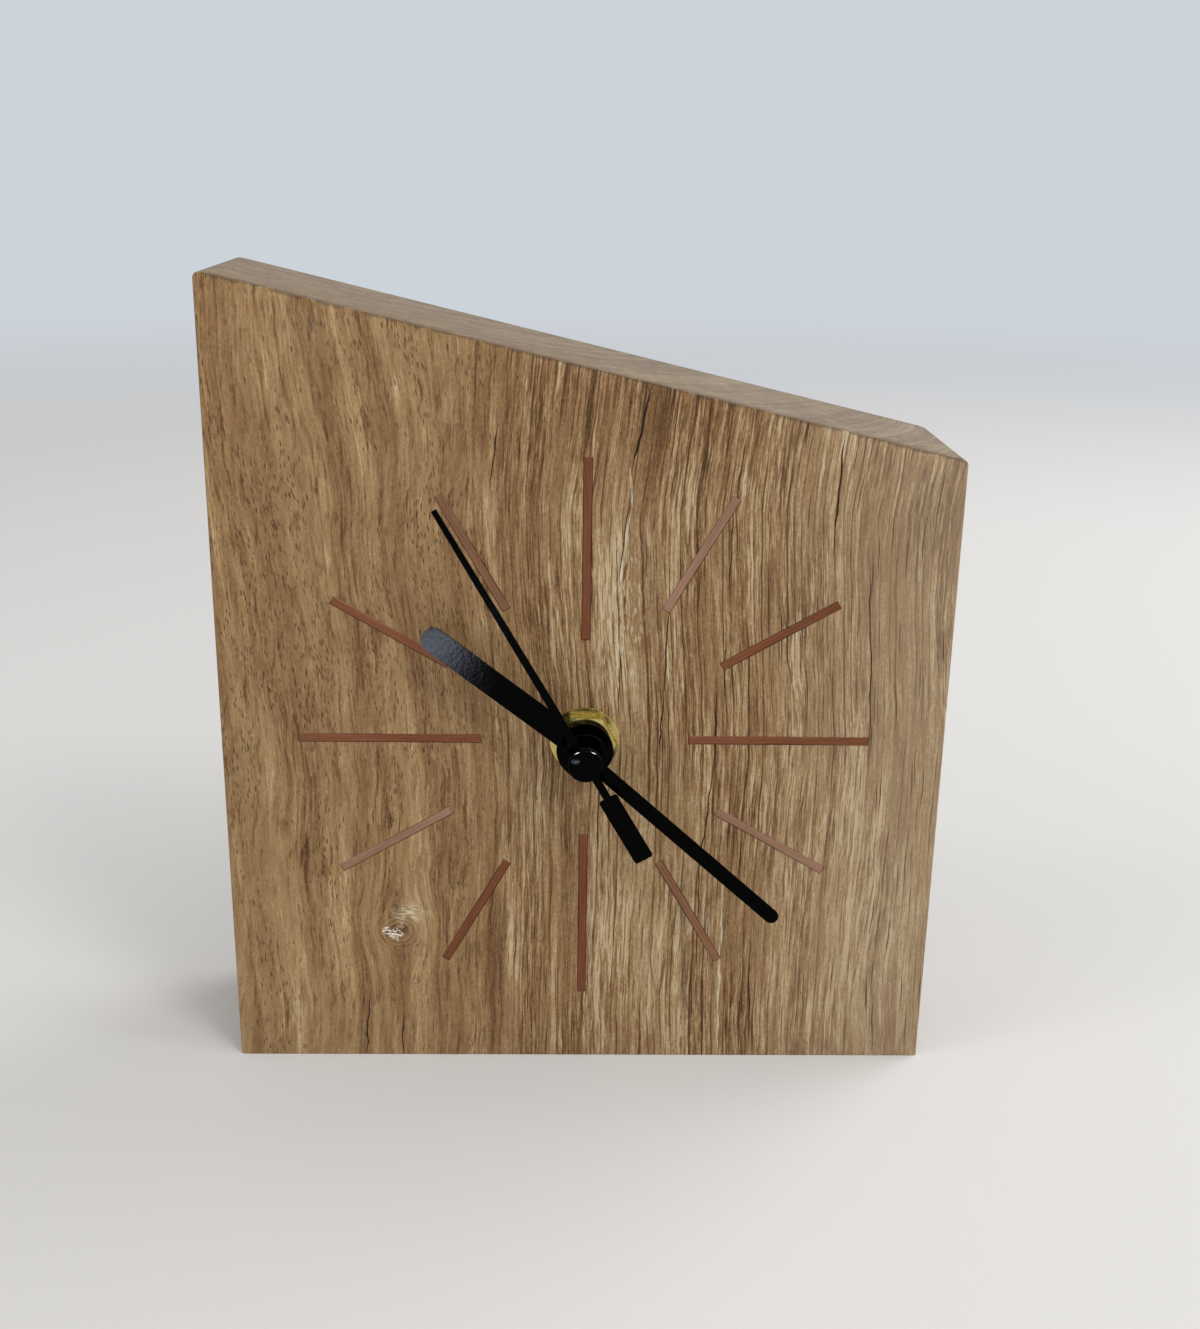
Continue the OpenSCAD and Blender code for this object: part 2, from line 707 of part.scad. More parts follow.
// Two lugs on each side of the cover, or with a gap the windows in the case that they snap into
module lugs(inner_x, outer_x, gap) {
    for (s = [-1, 1], y = [pillar_low_y, room_top - lug_l])
        slab(cover_at_d - lip_h - gap, lug_h + 2 * gap) translate([s * (inner_x + outer_x) / 2, y])
            square([outer_x - inner_x, lug_l + 2 * gap], center = true);
}

// Cover of the train room, with a lip inside the case and a collar round the knob's stem
module rear_cover() color(black_plastic) at_movement() difference() {
    union() {
        slab(cover_at_d, cover_t) intersection() {
            case_outline();
            translate([-half_w, room_floor + lip_gap]) square([2 * half_w, case_top - room_floor]);
        }
        slab(cover_at_d - lip_h, lip_h) difference() {
            room_inset(lip_gap);
            room_inset(lip_gap + lip_t);
        }
        lugs(room_half_w - lip_gap - lip_t / 2, room_half_w + lug_reach, 0);
        rod(motion_at, knob_stem_d / 2 + cover_t, cover_at_d - lip_h, lip_h);
    }
    rod(motion_at, knob_stem_d / 2 + running_gap, cover_at_d - lip_h - cut, case_d);
    slab(case_d - panel_depth, panel_depth + cut) {
        translate([panel_x, panel_y]) rounded_rect(panel_w, panel_h, panel_corner_r);
        translate(motion_at) difference() {
            circle(knob_d / 2 + groove_r * 2);
            circle(knob_d / 2 + groove_r);
        }
    }
}

module room_inset(gap) {
    translate([-room_half_w + gap, room_floor + gap])
        square([2 * (room_half_w - gap), room_top - room_floor - 2 * gap]);
}

module plate_outline() {
    translate([0, (plate_top + plate_bottom) / 2])
        rounded_rect(2 * plate_half_w, plate_top - plate_bottom, plate_corner_r);
}

// A round hole through a plate
module plate_hole(at, r, plate_d) {
    rod(at, r, plate_d - cut, plate_t + 2 * cut);
}

// Plate between the setting works and the train, with spacers that carry the bridge
module middle_plate() color(white_plastic) at_movement() difference() {
    third_leaf_r = tip_r(third_leaves, third_m, shift_for(third_leaves));
    union() {
        slab(middle_at_d, plate_t) plate_outline();
        for (at = pillars) rod(at, pillar_r, middle_at_d, bridge_at_d - middle_at_d);
    }
    for (at = pillars) rod(at, screw_d / 2 + screw_gap, middle_at_d - cut, case_d);
    plate_hole([0, 0], centre_hub_r + running_gap, middle_at_d);
    plate_hole(third_at, third_leaf_r + layer_gap, middle_at_d);
    plate_hole(motion_at, knob_stem_d / 2 + layer_gap, middle_at_d);
    for (at = [inter_at, rotor_at]) plate_hole(at, pivot_d / 2 + running_gap, middle_at_d);
}

// Rear plate of the train, with windows over the third wheel
module train_bridge() color(white_plastic) at_movement() difference() {
    slab(bridge_at_d, plate_t) plate_outline();
    for (at = pillars) plate_hole(at, screw_d / 2 + screw_gap, bridge_at_d);
    plate_hole(motion_at, knob_stem_d / 2 + layer_gap, bridge_at_d);
    for (at = [[0, 0], third_at, inter_at, rotor_at]) plate_hole(at, pivot_d / 2 + running_gap, bridge_at_d);
    for (a = [120, 180, 240]) plate_hole(third_at + polar(window_ring_r, a), window_r, bridge_at_d);
}

// Slotted screws with their heads on depth seat_d and their shanks reaching forward from there
module screws(places, seat_d, reach) {
    for (at = places) {
        difference() {
            rod(at, screw_head_d / 2, seat_d, screw_head_h);
            slab(seat_d + screw_head_h / 2, screw_head_h) translate(at)
                square([screw_head_d + cut, screw_slot_w], center = true);
        }
        rod(at, screw_d / 2, seat_d - reach, reach);
    }
}

module plate_screws() color(steel) at_movement()
    screws(pillars, bridge_end_d, bridge_end_d - middle_at_d + screw_bite);

module coil_screws() color(steel) at_movement()
    screws(coil_ends, stator_at_d + stator_t, stator_t + core_t + screw_bite);

// Wheel under the knob: turned by it, and by the minute arbor while the clock runs
module motion_wheel() color(white_plastic) at_movement() difference() {
    union() {
        spoked_gear(motion_at, motion_teeth, cannon_m, -shift_for(cannon_leaves), motion_turn,
                    motion_at_d, 5);
        gear(motion_at, motion_leaves, hour_m, shift_for(motion_leaves), 0, hour_at_d - layer_gap / 2,
             wheel_t + layer_gap * 1.5);
        rod(motion_at, knob_stem_d / 2 + motion_hub_wall, motion_at_d, wheel_t + layer_gap);
    }
    rod(motion_at, knob_stem_d / 2, 0, case_d);
}

// Knob on the back for setting the time, with the stem that turns the motion wheel
module setting_knob() color(black_plastic) at_movement() {
    knob_at_d = case_d + knob_gap;
    rod(motion_at, knob_stem_d / 2, case_wall + end_play, knob_at_d - case_wall - end_play);
    rod(motion_at, pivot_d / 2, case_wall - plate_t + end_play, plate_t);
    difference() {
        rod(motion_at, knob_d / 2, knob_at_d, knob_t);
        for (i = [0 : knob_grooves - 1])
            rod(motion_at + polar(knob_d / 2 + groove_r / 3, 360 * i / knob_grooves), groove_r,
                knob_at_d - cut, knob_t + 2 * cut);
        rod(motion_at, knob_d / 2 - knob_rim_w, knob_at_d + knob_t - knob_hollow, knob_hollow + cut);
    }
}

// Hour wheel and the pipe that carries the hour hand out through the bush
module hour_wheel() color(white_plastic) at_movement() difference() {
    union() {
        spoked_gear([0, 0], hour_teeth, hour_m, -shift_for(motion_leaves), hour_turn, hour_at_d, 6);
        translate([0, 0, -hour_at_d]) cylinder(d = hour_pipe_d, h = hour_at_d + hour_pipe_z - movement_z);
    }
    rod([0, 0], minute_arbor_d / 2 + running_gap, movement_z - hour_pipe_z - cut,
        hour_pipe_z - movement_z + hour_at_d + wheel_t + 2 * cut);
}

// Tube that carries the minute hand, with the cannon pinion that drives the setting works
module minute_arbor() color(brass) at_movement() difference() {
    union() {
        rod([0, 0], minute_arbor_d / 2, movement_z - minute_arbor_z,
            minute_arbor_z - movement_z + centre_at_d - end_play);
        gear([0, 0], cannon_leaves, cannon_m, shift_for(cannon_leaves), 0, motion_at_d - layer_gap / 2,
             wheel_t + layer_gap);
        rod([0, 0], clutch_r, centre_at_d - layer_gap / 2, middle_at_d - centre_at_d);
    }
    rod([0, 0], second_arbor_d / 2 + running_gap, movement_z - minute_arbor_z - cut,
        minute_arbor_z - movement_z + case_d);
}

// Wheel driven once an hour, which turns the minute arbor through a friction clutch
module centre_wheel() color(white_plastic) at_movement() difference() {
    union() {
        spoked_gear([0, 0], centre_teeth, third_m, -shift_for(third_leaves), centre_turn, centre_at_d, 6);
        rod([0, 0], centre_hub_r, centre_at_d, middle_at_d + plate_t - centre_at_d);
    }
    rod([0, 0], clutch_r + running_gap, centre_at_d - cut, middle_at_d - centre_at_d + cut);
    rod([0, 0], second_arbor_d / 2 + hub_gap, centre_at_d, case_d);
}

// Third wheel and pinion, moulded on their arbor
module third_wheel() color(white_plastic) at_movement() {
    spoked_gear(third_at, third_teeth, seconds_m, -shift_for(seconds_leaves), third_turn, third_at_d, 6);
    gear(third_at, third_leaves, third_m, shift_for(third_leaves), 0, centre_at_d - layer_gap / 2,
         third_at_d - centre_at_d + layer_gap);
    rod(third_at, train_arbor_d / 2, case_wall + end_play, bridge_at_d - case_wall - 2 * end_play);
    rod(third_at, pivot_d / 2, case_wall - plate_t + end_play,
        bridge_at_d - case_wall + 2 * (plate_t - end_play));
}

// Seconds wheel and pinion on the long arbor that carries the second hand
module second_arbor() color(steel) at_movement() {
    spoked_gear([0, 0], seconds_teeth, inter_m, -shift_for(inter_leaves), 0, seconds_at_d, 5);
    gear([0, 0], seconds_leaves, seconds_m, shift_for(seconds_leaves), 0, third_at_d - layer_gap / 2,
         wheel_t + layer_gap * 2);
    rod([0, 0], second_arbor_d / 2, movement_z - second_arbor_z,
        second_arbor_z - movement_z + bridge_at_d - end_play);
    rod([0, 0], pivot_d / 2, seconds_at_d, bridge_end_d - seconds_at_d - end_play);
}

// Wheel between the rotor and the seconds wheel
module intermediate_wheel() color(white_plastic) at_movement() {
    spoked_gear(inter_at, inter_teeth, rotor_m, -shift_for(rotor_teeth), 0, third_at_d, 4);
    gear(inter_at, inter_leaves, inter_m, shift_for(inter_leaves), intermediate_leaf_turn,
         third_at_d + wheel_t / 2, wheel_t + layer_gap * 2);
    arbor(inter_at, middle_at_d + plate_t, bridge_at_d);
}

// Pinion and arbor of the stepping rotor
module rotor_pinion() color(white_plastic) at_movement() {
    gear(rotor_at, rotor_teeth, rotor_m, shift_for(rotor_teeth), rotor_turn, third_at_d - layer_gap / 2,
         wheel_t + layer_gap);
    arbor(rotor_at, middle_at_d + plate_t, bridge_at_d);
}

// Magnet on the rotor's arbor
module rotor_magnet() color([0.25, 0.25, 0.27]) at_movement() difference() {
    rod(rotor_at, magnet_d / 2, seconds_at_d, magnet_t);
    rod(rotor_at, train_arbor_d / 2, seconds_at_d - cut, magnet_t + 2 * cut);
}

// Soft-iron plate round the rotor, with an arm to each end of the coil's core
module stator() color(steel) at_movement() difference() {
    hole_r = magnet_d / 2 + air_gap;
    slab(stator_at_d, stator_t) difference() {
        union() {
            translate(rotor_at) circle(hole_r + stator_rim);
            for (s = [0, 1]) {
                elbow = [coil_ends[s][0], stator_elbow_y];
                link(rotor_at + [(2 * s - 1) * stator_arm[0], stator_arm[1]], elbow, core_w);
                link(elbow, coil_ends[s], core_w);
            }
        }
        translate(rotor_at) circle(hole_r);
        for (a = [75, 255]) translate(rotor_at + polar(hole_r, a)) circle(stator_notch_r);
    }
    for (at = coil_ends) rod(at, screw_d / 2 + screw_gap, 0, case_d);
}

// Iron strip that runs through the coil
module coil_core() color(steel) at_movement() difference() {
    slab(core_at_d, core_t) link(coil_ends[0], coil_ends[1], core_w);
    for (at = coil_ends) rod(at, screw_d / 2 + screw_gap, 0, case_d);
}

module along_coil(x, l, r) {
    translate([coil_mid_x + x, coil_y, -coil_axis_d]) rotate([0, 90, 0])
        cylinder(r = r, h = l, center = true);
}

// Bobbin with two flanges and a foot that reaches the circuit board
module coil_bobbin() color([0.85, 0.8, 0.7]) at_movement() difference() {
    union() {
        along_coil(0, coil_l, bobbin_r);
        for (s = [-1, 1]) along_coil(s * (coil_l - flange_t) / 2, flange_t, coil_flange_d / 2);
        translate([coil_mid_x - coil_l / 2, coil_y + coil_flange_d / 2 - foot_t, -board_at_d])
            cube([flange_t, foot_l, foot_t]);
    }
    slab(core_at_d, core_t) translate([coil_mid_x - coil_l, coil_y - core_w / 2])
        square([2 * coil_l, core_w]);
}

module coil_winding() color([0.55, 0.3, 0.15]) at_movement() difference() {
    along_coil(0, coil_l - 2 * flange_t, winding_d / 2);
    along_coil(0, coil_l, bobbin_r);
}

// Circuit board that drives the motor
module circuit_board() color([0.1, 0.35, 0.2]) at_movement() difference() {
    slab(board_at_d, board_t) union() {
        translate([board_left, board_bottom]) square([board_right - board_left, board_top - board_bottom]);
        translate([board_left, board_arm_y]) square([board_arm_x - board_left, board_top - board_arm_y]);
    }
    for (at = board_posts) rod(at, board_pin_r, board_at_d - cut, board_t + 2 * cut);
}

// Drop of black resin over the chip: the top of a ball that is chip_r wide at the board
module chip() color(black_plastic) at_movement() {
    ball_r = (chip_r * chip_r + chip_h * chip_h) / (2 * chip_h);
    translate([chip_at[0], chip_at[1], -board_end_d]) rotate([180, 0, 0]) rotate_extrude() intersection() {
        translate([0, chip_h - ball_r]) circle(ball_r);
        square([chip_r, chip_h]);
    }
}

// Watch crystal in its small can
module crystal() color(steel) at_movement()
    translate([crystal_at[0], crystal_at[1], -board_end_d - crystal_r]) rotate([0, 90, 0])
        cylinder(r = crystal_r, h = crystal_l);

// Flat contact at the raised end of the battery, with its strip and tab
module positive_contact() color(steel) at_movement() {
    wall = room_half_w - contact_t;
    tab_x = board_right - tab_inset;
    slab(cell_d - flat_contact_w / 2, flat_contact_w) translate([wall, cell_y - flat_contact_w / 2])
        square([contact_t, flat_contact_w]);
    slab(board_end_d, strip_w) translate([wall, cell_y]) square([contact_t, room_top - cell_y]);
    slab(board_end_d, strip_w) translate([tab_x, room_top - contact_t])
        square([room_half_w - tab_x, contact_t]);
    slab(board_end_d, contact_t) translate([tab_x, board_top - tab_w])
        square([tab_w, room_top - board_top + tab_w]);
}

// Springy contact at the flat end of the battery, with its strip and tab
module negative_contact() color(steel) at_movement() {
    wall = -room_half_w;
    foot_x = wall + contact_t;
    slab(cell_d - spring_w / 2, spring_w) translate([0, cell_y]) {
        translate([wall, -spring_foot]) square([contact_t, 2 * spring_foot]);
        difference() {
            bow(foot_x, cell_left, spring_foot, spring_tip);
            bow(foot_x, cell_left - contact_t, spring_foot - 2 * contact_t, spring_tip);
        }
    }
    slab(board_end_d, strip_w) translate([wall, cell_y]) square([contact_t, board_bottom + tab_w - cell_y]);
    slab(board_end_d, contact_t) translate([wall, board_bottom]) square([board_left - wall + tab_w, tab_w]);
}

// Half of a flattened diamond, from its foot on the wall to its blunt tip
module bow(foot_x, tip_x, foot_y, tip_y) {
    polygon([[foot_x, -foot_y], [tip_x, -tip_y], [tip_x, tip_y], [foot_x, foot_y]]);
}

// Turns a profile about the battery's axis, from its flat end at zero
module about_battery() {
    at_movement() translate([cell_left, cell_y, -cell_d]) rotate([0, 90, 0]) rotate_extrude() children();
}

// Steel can with crimped ends and the raised contact
module battery_can() color(steel) about_battery() {
    r = battery_d / 2 - sleeve_t;
    l = battery_l - nub_h;
    polygon([[0, 0], [r - 1, 0], [r - 0.3, 0.3], [r, 1], [r, l - 1], [r - 0.3, l - 0.3], [r - 1, l],
             [nub_d / 2, l], [nub_d / 2, l + nub_h - 0.2], [nub_d / 2 - 0.2, l + nub_h], [0, l + nub_h]]);
}

module battery_sleeve() color([0.2, 0.35, 0.55]) about_battery()
    translate([battery_d / 2 - sleeve_t, sleeve_inset])
        square([sleeve_t, battery_l - nub_h - 2 * sleeve_inset]);

module pointing(turn) {
    at_dial() rotate(-turn) children();
}

// Straight hand with a round tip and a round eye
module plain_hand(l, w, eye_d, hole_d, turn, z) {
    pointing(turn) translate([0, 0, z]) linear_extrude(hand_t) difference() {
        union() {
            link([0, 0], [0, l - w / 2], w);
            circle(d = eye_d);
        }
        circle(d = hole_d);
    }
}

// Brass collet that holds a hand on its tube
module collet(bore_d, z) {
    at_dial() {
        tube(bore_d / 2 + collet_wall, bore_d / 2, z - collet_h, collet_h);
        tube(bore_d / 2 + collet_neck, bore_d / 2, z, hand_t);
    }
}

module hour_hand() color(black_paint)
    plain_hand(hour_hand_l, hour_hand_w, hour_eye_d, hour_pipe_d + 2 * collet_neck, hour_hand_turn,
               hour_hand_z);

module hour_collet() color(brass) collet(hour_pipe_d, hour_hand_z);

module minute_hand() color(black_paint)
    plain_hand(minute_hand_l, minute_hand_w, minute_eye_d, minute_arbor_d + 2 * collet_neck,
               minute_hand_turn, minute_hand_z);

module minute_collet() color(brass) collet(minute_arbor_d, minute_hand_z);

// Second hand: tapered pointer, narrow neck and a counterweight with its corners cut off
module second_hand() color(black_paint) pointing(second_hand_turn)
    translate([0, 0, second_hand_z]) linear_extrude(second_hand_t) difference() {
        union() {
            polygon([[-second_root_w / 2, 0], [second_root_w / 2, 0], [second_tip_w / 2, second_hand_l],
                     [-second_tip_w / 2, second_hand_l]]);
            translate([-neck_w / 2, -tail_l + weight_l / 2]) square([neck_w, tail_l - weight_l / 2]);
            translate([0, -tail_l]) counterweight();
            circle(r = second_tube_r + second_boss_w);
        }
        circle(r = second_tube_r);
    }

module counterweight() {
    w = weight_w / 2;
    c = weight_chamfer;
    polygon([[c - w, 0], [w - c, 0], [w, c], [w, weight_l - c], [w - c, weight_l], [c - w, weight_l],
             [-w, weight_l - c], [-w, c]]);
}

// Tube that grips the second arbor, from just above the minute arbor to half way up the cap
module second_tube() color(brass) at_dial()
    tube(second_tube_r, second_arbor_d / 2, minute_arbor_z + tube_gap,
         second_arbor_z - minute_arbor_z - tube_gap);

// Turned cap with a rounded rim and a slightly domed face
module second_cap() color(black_paint) at_dial() translate([0, 0, second_hand_z + second_hand_t])
    difference() {
        flat_r = cap_d / 2 - cap_edge_r;
        rim_h = cap_h - cap_dome - cap_edge_r;
        rotate_extrude() polygon(concat(
            [[0, 0], [cap_d / 2, 0]],
            [for (a = [0 : 15 : 90]) [flat_r, rim_h] + polar(cap_edge_r, a)],
            [for (k = [1 : 6]) [flat_r * (1 - k / 6), cap_h - cap_dome * pow(1 - k / 6, 2)]]
        ));
        translate([0, 0, -cut]) cylinder(r = second_tube_r, h = cap_h / 2 + cut);
    }

for (hour = [1 : 12])
    hour_bar(hour);
oak_block();
gasket();
front_case();
threaded_bush();
washer();
hex_nut();
rear_cover();
middle_plate();
train_bridge();
plate_screws();
setting_knob();
motion_wheel();
hour_wheel();
minute_arbor();
centre_wheel();
third_wheel();
second_arbor();
intermediate_wheel();
rotor_pinion();
rotor_magnet();
stator();
coil_core();
coil_bobbin();
coil_winding();
coil_screws();
circuit_board();
chip();
crystal();
positive_contact();
negative_contact();
battery_can();
battery_sleeve();
hour_hand();
hour_collet();
minute_hand();
minute_collet();
second_hand();
second_tube();
second_cap();
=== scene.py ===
"""Oak desk clock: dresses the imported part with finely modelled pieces, real materials and a plain studio.

Everything is in metres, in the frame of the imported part: X to the right, Y back into the block, Z up.
Pieces on the dial are modelled with the dial's centre at zero, Y up and Z towards the viewer, and are
then laid on the face. Lengths in the code are in millimetres wherever MM stands beside them.
"""

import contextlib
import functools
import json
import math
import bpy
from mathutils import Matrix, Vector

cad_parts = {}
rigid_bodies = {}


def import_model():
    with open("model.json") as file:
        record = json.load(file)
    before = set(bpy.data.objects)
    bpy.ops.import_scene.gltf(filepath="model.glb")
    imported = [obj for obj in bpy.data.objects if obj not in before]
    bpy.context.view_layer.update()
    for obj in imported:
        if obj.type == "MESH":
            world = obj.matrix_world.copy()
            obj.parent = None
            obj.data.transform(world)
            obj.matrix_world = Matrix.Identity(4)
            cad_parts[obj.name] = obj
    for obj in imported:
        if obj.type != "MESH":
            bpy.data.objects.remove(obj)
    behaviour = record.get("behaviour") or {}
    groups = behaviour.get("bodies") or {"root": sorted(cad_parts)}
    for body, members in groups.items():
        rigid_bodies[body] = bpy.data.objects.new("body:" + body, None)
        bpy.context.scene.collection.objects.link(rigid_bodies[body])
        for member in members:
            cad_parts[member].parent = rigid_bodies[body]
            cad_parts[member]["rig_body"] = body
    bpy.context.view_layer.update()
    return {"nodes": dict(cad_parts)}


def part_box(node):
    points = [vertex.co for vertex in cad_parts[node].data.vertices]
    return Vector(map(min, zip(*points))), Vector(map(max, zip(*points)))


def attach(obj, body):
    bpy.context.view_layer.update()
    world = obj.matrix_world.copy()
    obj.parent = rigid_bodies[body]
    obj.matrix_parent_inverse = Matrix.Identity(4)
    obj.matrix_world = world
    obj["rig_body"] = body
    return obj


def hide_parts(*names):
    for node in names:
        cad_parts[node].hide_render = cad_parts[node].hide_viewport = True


bl_info = {
    "name": "Oak Desk Clock",
    "version": (1, 0, 0),
    "blender": (4, 5, 0),
    "location": "3D View > Sidebar > Clock",
    "description": "Dresses the packed desk clock and sets up its studio",
    "category": "Object",
}

import bmesh
import bpy
from bpy.props import FloatProperty, FloatVectorProperty, IntProperty, PointerProperty
from mathutils import Matrix, Vector

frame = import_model()

MM = 0.001
BLOCK_LOW, BLOCK_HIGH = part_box("oak_block")
BLOCK_TOP_RIGHT = max(v.co.z for v in frame["nodes"]["oak_block"].data.vertices
                      if v.co.x > BLOCK_HIGH.x - 1e-5)
CASE_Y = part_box("front_case")[0].y
DIAL_Z = sum(corner.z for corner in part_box("washer")) / 2
DIAL = Matrix.Translation((0, BLOCK_LOW.y, DIAL_Z)) @ Matrix.Rotation(math.radians(90), 4, "X")


# ---------------- colours and shader nodes

def linear(hex_colour):
    """Turns an sRGB hex colour into linear red, green, blue and alpha."""
    parts = [int(hex_colour[i:i + 2], 16) / 255 for i in (1, 3, 5)]
    return tuple(c / 12.92 if c <= 0.04045 else ((c + 0.055) / 1.055) ** 2.4 for c in parts) + (1.0,)


SIGNS = {"+": "ADD", "-": "SUBTRACT", "*": "MULTIPLY", "*+": "MULTIPLY_ADD"}


def add(tree, kind, *inputs, stops=(), **named):
    """Adds one shader node. A kind in capitals, or a sign, is a Math node's operation. The inputs stand in
    the order of the node's sockets or have their names, which start with a capital. Each is a value, a
    colour in hex, a socket or a node, whose output is then used. The other names are the node's settings,
    and the stops are a ramp's places and colours. A Mix node mixes colours unless it is told otherwise."""
    kind = SIGNS.get(kind, kind)
    if kind.isupper():
        kind, named = "Math", {**named, "operation": kind}
    if kind == "Mix":
        named = {"data_type": "RGBA", **named}
    node = tree.nodes.new("ShaderNode" + kind)
    for key, value in named.items():
        if key[0].islower():
            setattr(node, key, value)
    sockets = [*zip([socket for socket in node.inputs if socket.enabled], inputs),
               *((node.inputs[key.replace("_", " ")], value) for key, value in named.items()
                 if key[0].isupper())]
    for socket, value in sockets:
        if isinstance(value, bpy.types.Node):
            value = next(output for output in value.outputs if output.enabled)
        if isinstance(value, bpy.types.NodeSocket):
            tree.links.new(value, socket)
        else:
            socket.default_value = linear(value) if isinstance(value, str) else value
    for place, colour in stops[2:]:
        node.color_ramp.elements.new(place)
    for element, (place, colour) in zip(node.color_ramp.elements if stops else (), stops):
        element.position = place
        element.color = colour
    return node


def new_material(name):
    """Makes an empty material and returns it with the function that adds a node to it."""
    material = bpy.data.materials.new(name)
    material.use_nodes = True
    material.node_tree.nodes.clear()
    return material, functools.partial(add, material.node_tree)


def in_mm(put, scale=1):
    """The place on the piece in millimetres, times one scale or one for each axis."""
    scales = scale if isinstance(scale, tuple) else (scale,) * 3
    return put("Mapping", put("TexCoord").outputs["Object"], Scale=[1000 * s for s in scales])


# ---------------- modelling by hand

def clear_selection():
    """An operator acts on all that is selected, so every piece starts from nothing selected."""
    if bpy.context.object and bpy.context.object.mode != "OBJECT":
        bpy.ops.object.mode_set(mode="OBJECT")
    bpy.ops.object.select_all(action="DESELECT")


def take(obj):
    """Selects one piece alone and makes it the active one."""
    clear_selection()
    obj.select_set(True)
    bpy.context.view_layer.objects.active = obj
    return obj


@contextlib.contextmanager
def editing(obj):
    """Edit mode on a piece, with all of it selected, and object mode again at the end."""
    take(obj)
    bpy.ops.object.mode_set(mode="EDIT")
    bpy.ops.mesh.select_all(action="SELECT")
    yield
    bpy.ops.object.mode_set(mode="OBJECT")


def choose(test, part):
    """In edit mode, selects the edges or vertices that pass a test."""
    bpy.context.tool_settings.mesh_select_mode = (part == "verts", part == "edges", False)
    bpy.ops.mesh.select_all(action="DESELECT")
    mesh = bmesh.from_edit_mesh(bpy.context.object.data)
    for item in getattr(mesh, part):
        if test(item):
            item.select_set(True)
    mesh.select_flush_mode()
    bmesh.update_edit_mesh(bpy.context.object.data)


def bevel_edges(obj, test, width, segments):
    """Rounds or chamfers the edges that pass a test."""
    with editing(obj):
        choose(test, "edges")
        bpy.ops.mesh.bevel(offset=width, segments=segments, affect="EDGES")


def upright(edge):
    """An edge that doesn't lie flat."""
    return abs(edge.verts[0].co.z - edge.verts[1].co.z) > 1e-5


def apply_modifier(obj, kind, **settings):
    """Adds a modifier, sets it and applies it, as its panel's Apply button does."""
    take(obj)
    bpy.ops.object.modifier_add(type=kind)
    modifier = obj.modifiers[-1]
    for key, value in settings.items():
        setattr(modifier, key, value)
    bpy.ops.object.modifier_apply(modifier=modifier.name)


def combine(obj, other, operation):
    """Joins, cuts or trims a piece with another, which is used up."""
    apply_modifier(obj, "BOOLEAN", operation=operation, object=other, solver="EXACT")
    mesh = other.data
    bpy.data.objects.remove(other)
    bpy.data.meshes.remove(mesh)
    return obj


def box_shape(low, high):
    """A block between two corners, in the frame that the piece is modelled in."""
    clear_selection()
    centre = [(a + b) / 2 * MM for a, b in zip(low, high)]
    bpy.ops.mesh.primitive_cube_add(size=1, location=centre)
    obj = bpy.context.object
    obj.scale = [(b - a) * MM for a, b in zip(low, high)]
    bpy.ops.object.transform_apply()
    return obj


def rod_shape(radius, low, high, x=0, sides=64):
    """An upright rod between two heights."""
    clear_selection()
    bpy.ops.mesh.primitive_cylinder_add(vertices=sides, radius=radius * MM, depth=(high - low) * MM,
                                        location=(x * MM, 0, (low + high) / 2 * MM))
    bpy.ops.object.transform_apply()
    return bpy.context.object


POINT = 1e-3  # Radius in millimetres at which a lathe piece ends in a point


def turned(profile, sides=64):
    """Turns a piece as on a lathe: a circle is extruded, scaled and moved from ring to ring.
    The profile runs through radius and height in millimetres. It closes on itself, or at radius zero."""
    clear_selection()
    radius, height = profile[0]
    start = max(radius, POINT)
    bpy.ops.mesh.primitive_circle_add(vertices=sides, radius=start * MM, location=(0, 0, 0))
    obj = bpy.context.object
    obj.location = (0, 0, height * MM)
    bpy.ops.object.transform_apply()
    with editing(obj):
        for next_radius, next_height in profile[1:]:
            goal = max(next_radius, POINT)
            rise = (0, 0, (next_height - height) * MM)
            bpy.ops.mesh.extrude_region_move(TRANSFORM_OT_translate={"value": rise})
            bpy.ops.transform.resize(value=(goal / start, goal / start, 1), center_override=(0, 0, 0))
            start, height = goal, next_height
        bpy.ops.mesh.select_all(action="SELECT")
        bpy.ops.mesh.remove_doubles(threshold=1.5 * POINT * MM)
        if profile[0] != profile[-1]:
            choose(lambda edge: edge.is_boundary, "edges")
            bpy.ops.mesh.edge_face_add()
        bpy.ops.mesh.select_all(action="SELECT")
        bpy.ops.mesh.normals_make_consistent(inside=False)
    return obj


def dissolve_slivers(obj):
    """Takes out edges and faces too small to see, which a bevel or a cut leaves behind."""
    with editing(obj):
        bpy.ops.mesh.dissolve_degenerate(threshold=5e-7)


def cut_wide_faces(obj):
    """Cuts faces of five and more sides into triangles, so that they stay closed in every export."""
    apply_modifier(obj, "TRIANGULATE", quad_method="BEAUTY", ngon_method="BEAUTY", min_vertices=5,
                   keep_custom_normals=True)


def ease_edges(obj, width, segments=2, angle=35):
    """Rounds every sharp edge a little, so that it catches the light, and shades the rest smooth."""
    apply_modifier(obj, "BEVEL", width=width * MM, segments=segments, limit_method="ANGLE",
                   angle_limit=math.radians(angle), use_clamp_overlap=True, miter_outer="MITER_ARC")
    dissolve_slivers(obj)
    bpy.ops.object.shade_smooth_by_angle(angle=math.radians(angle))
    apply_modifier(obj, "WEIGHTED_NORMAL", keep_sharp=True, weight=50)
    cut_wide_faces(obj)
    return obj


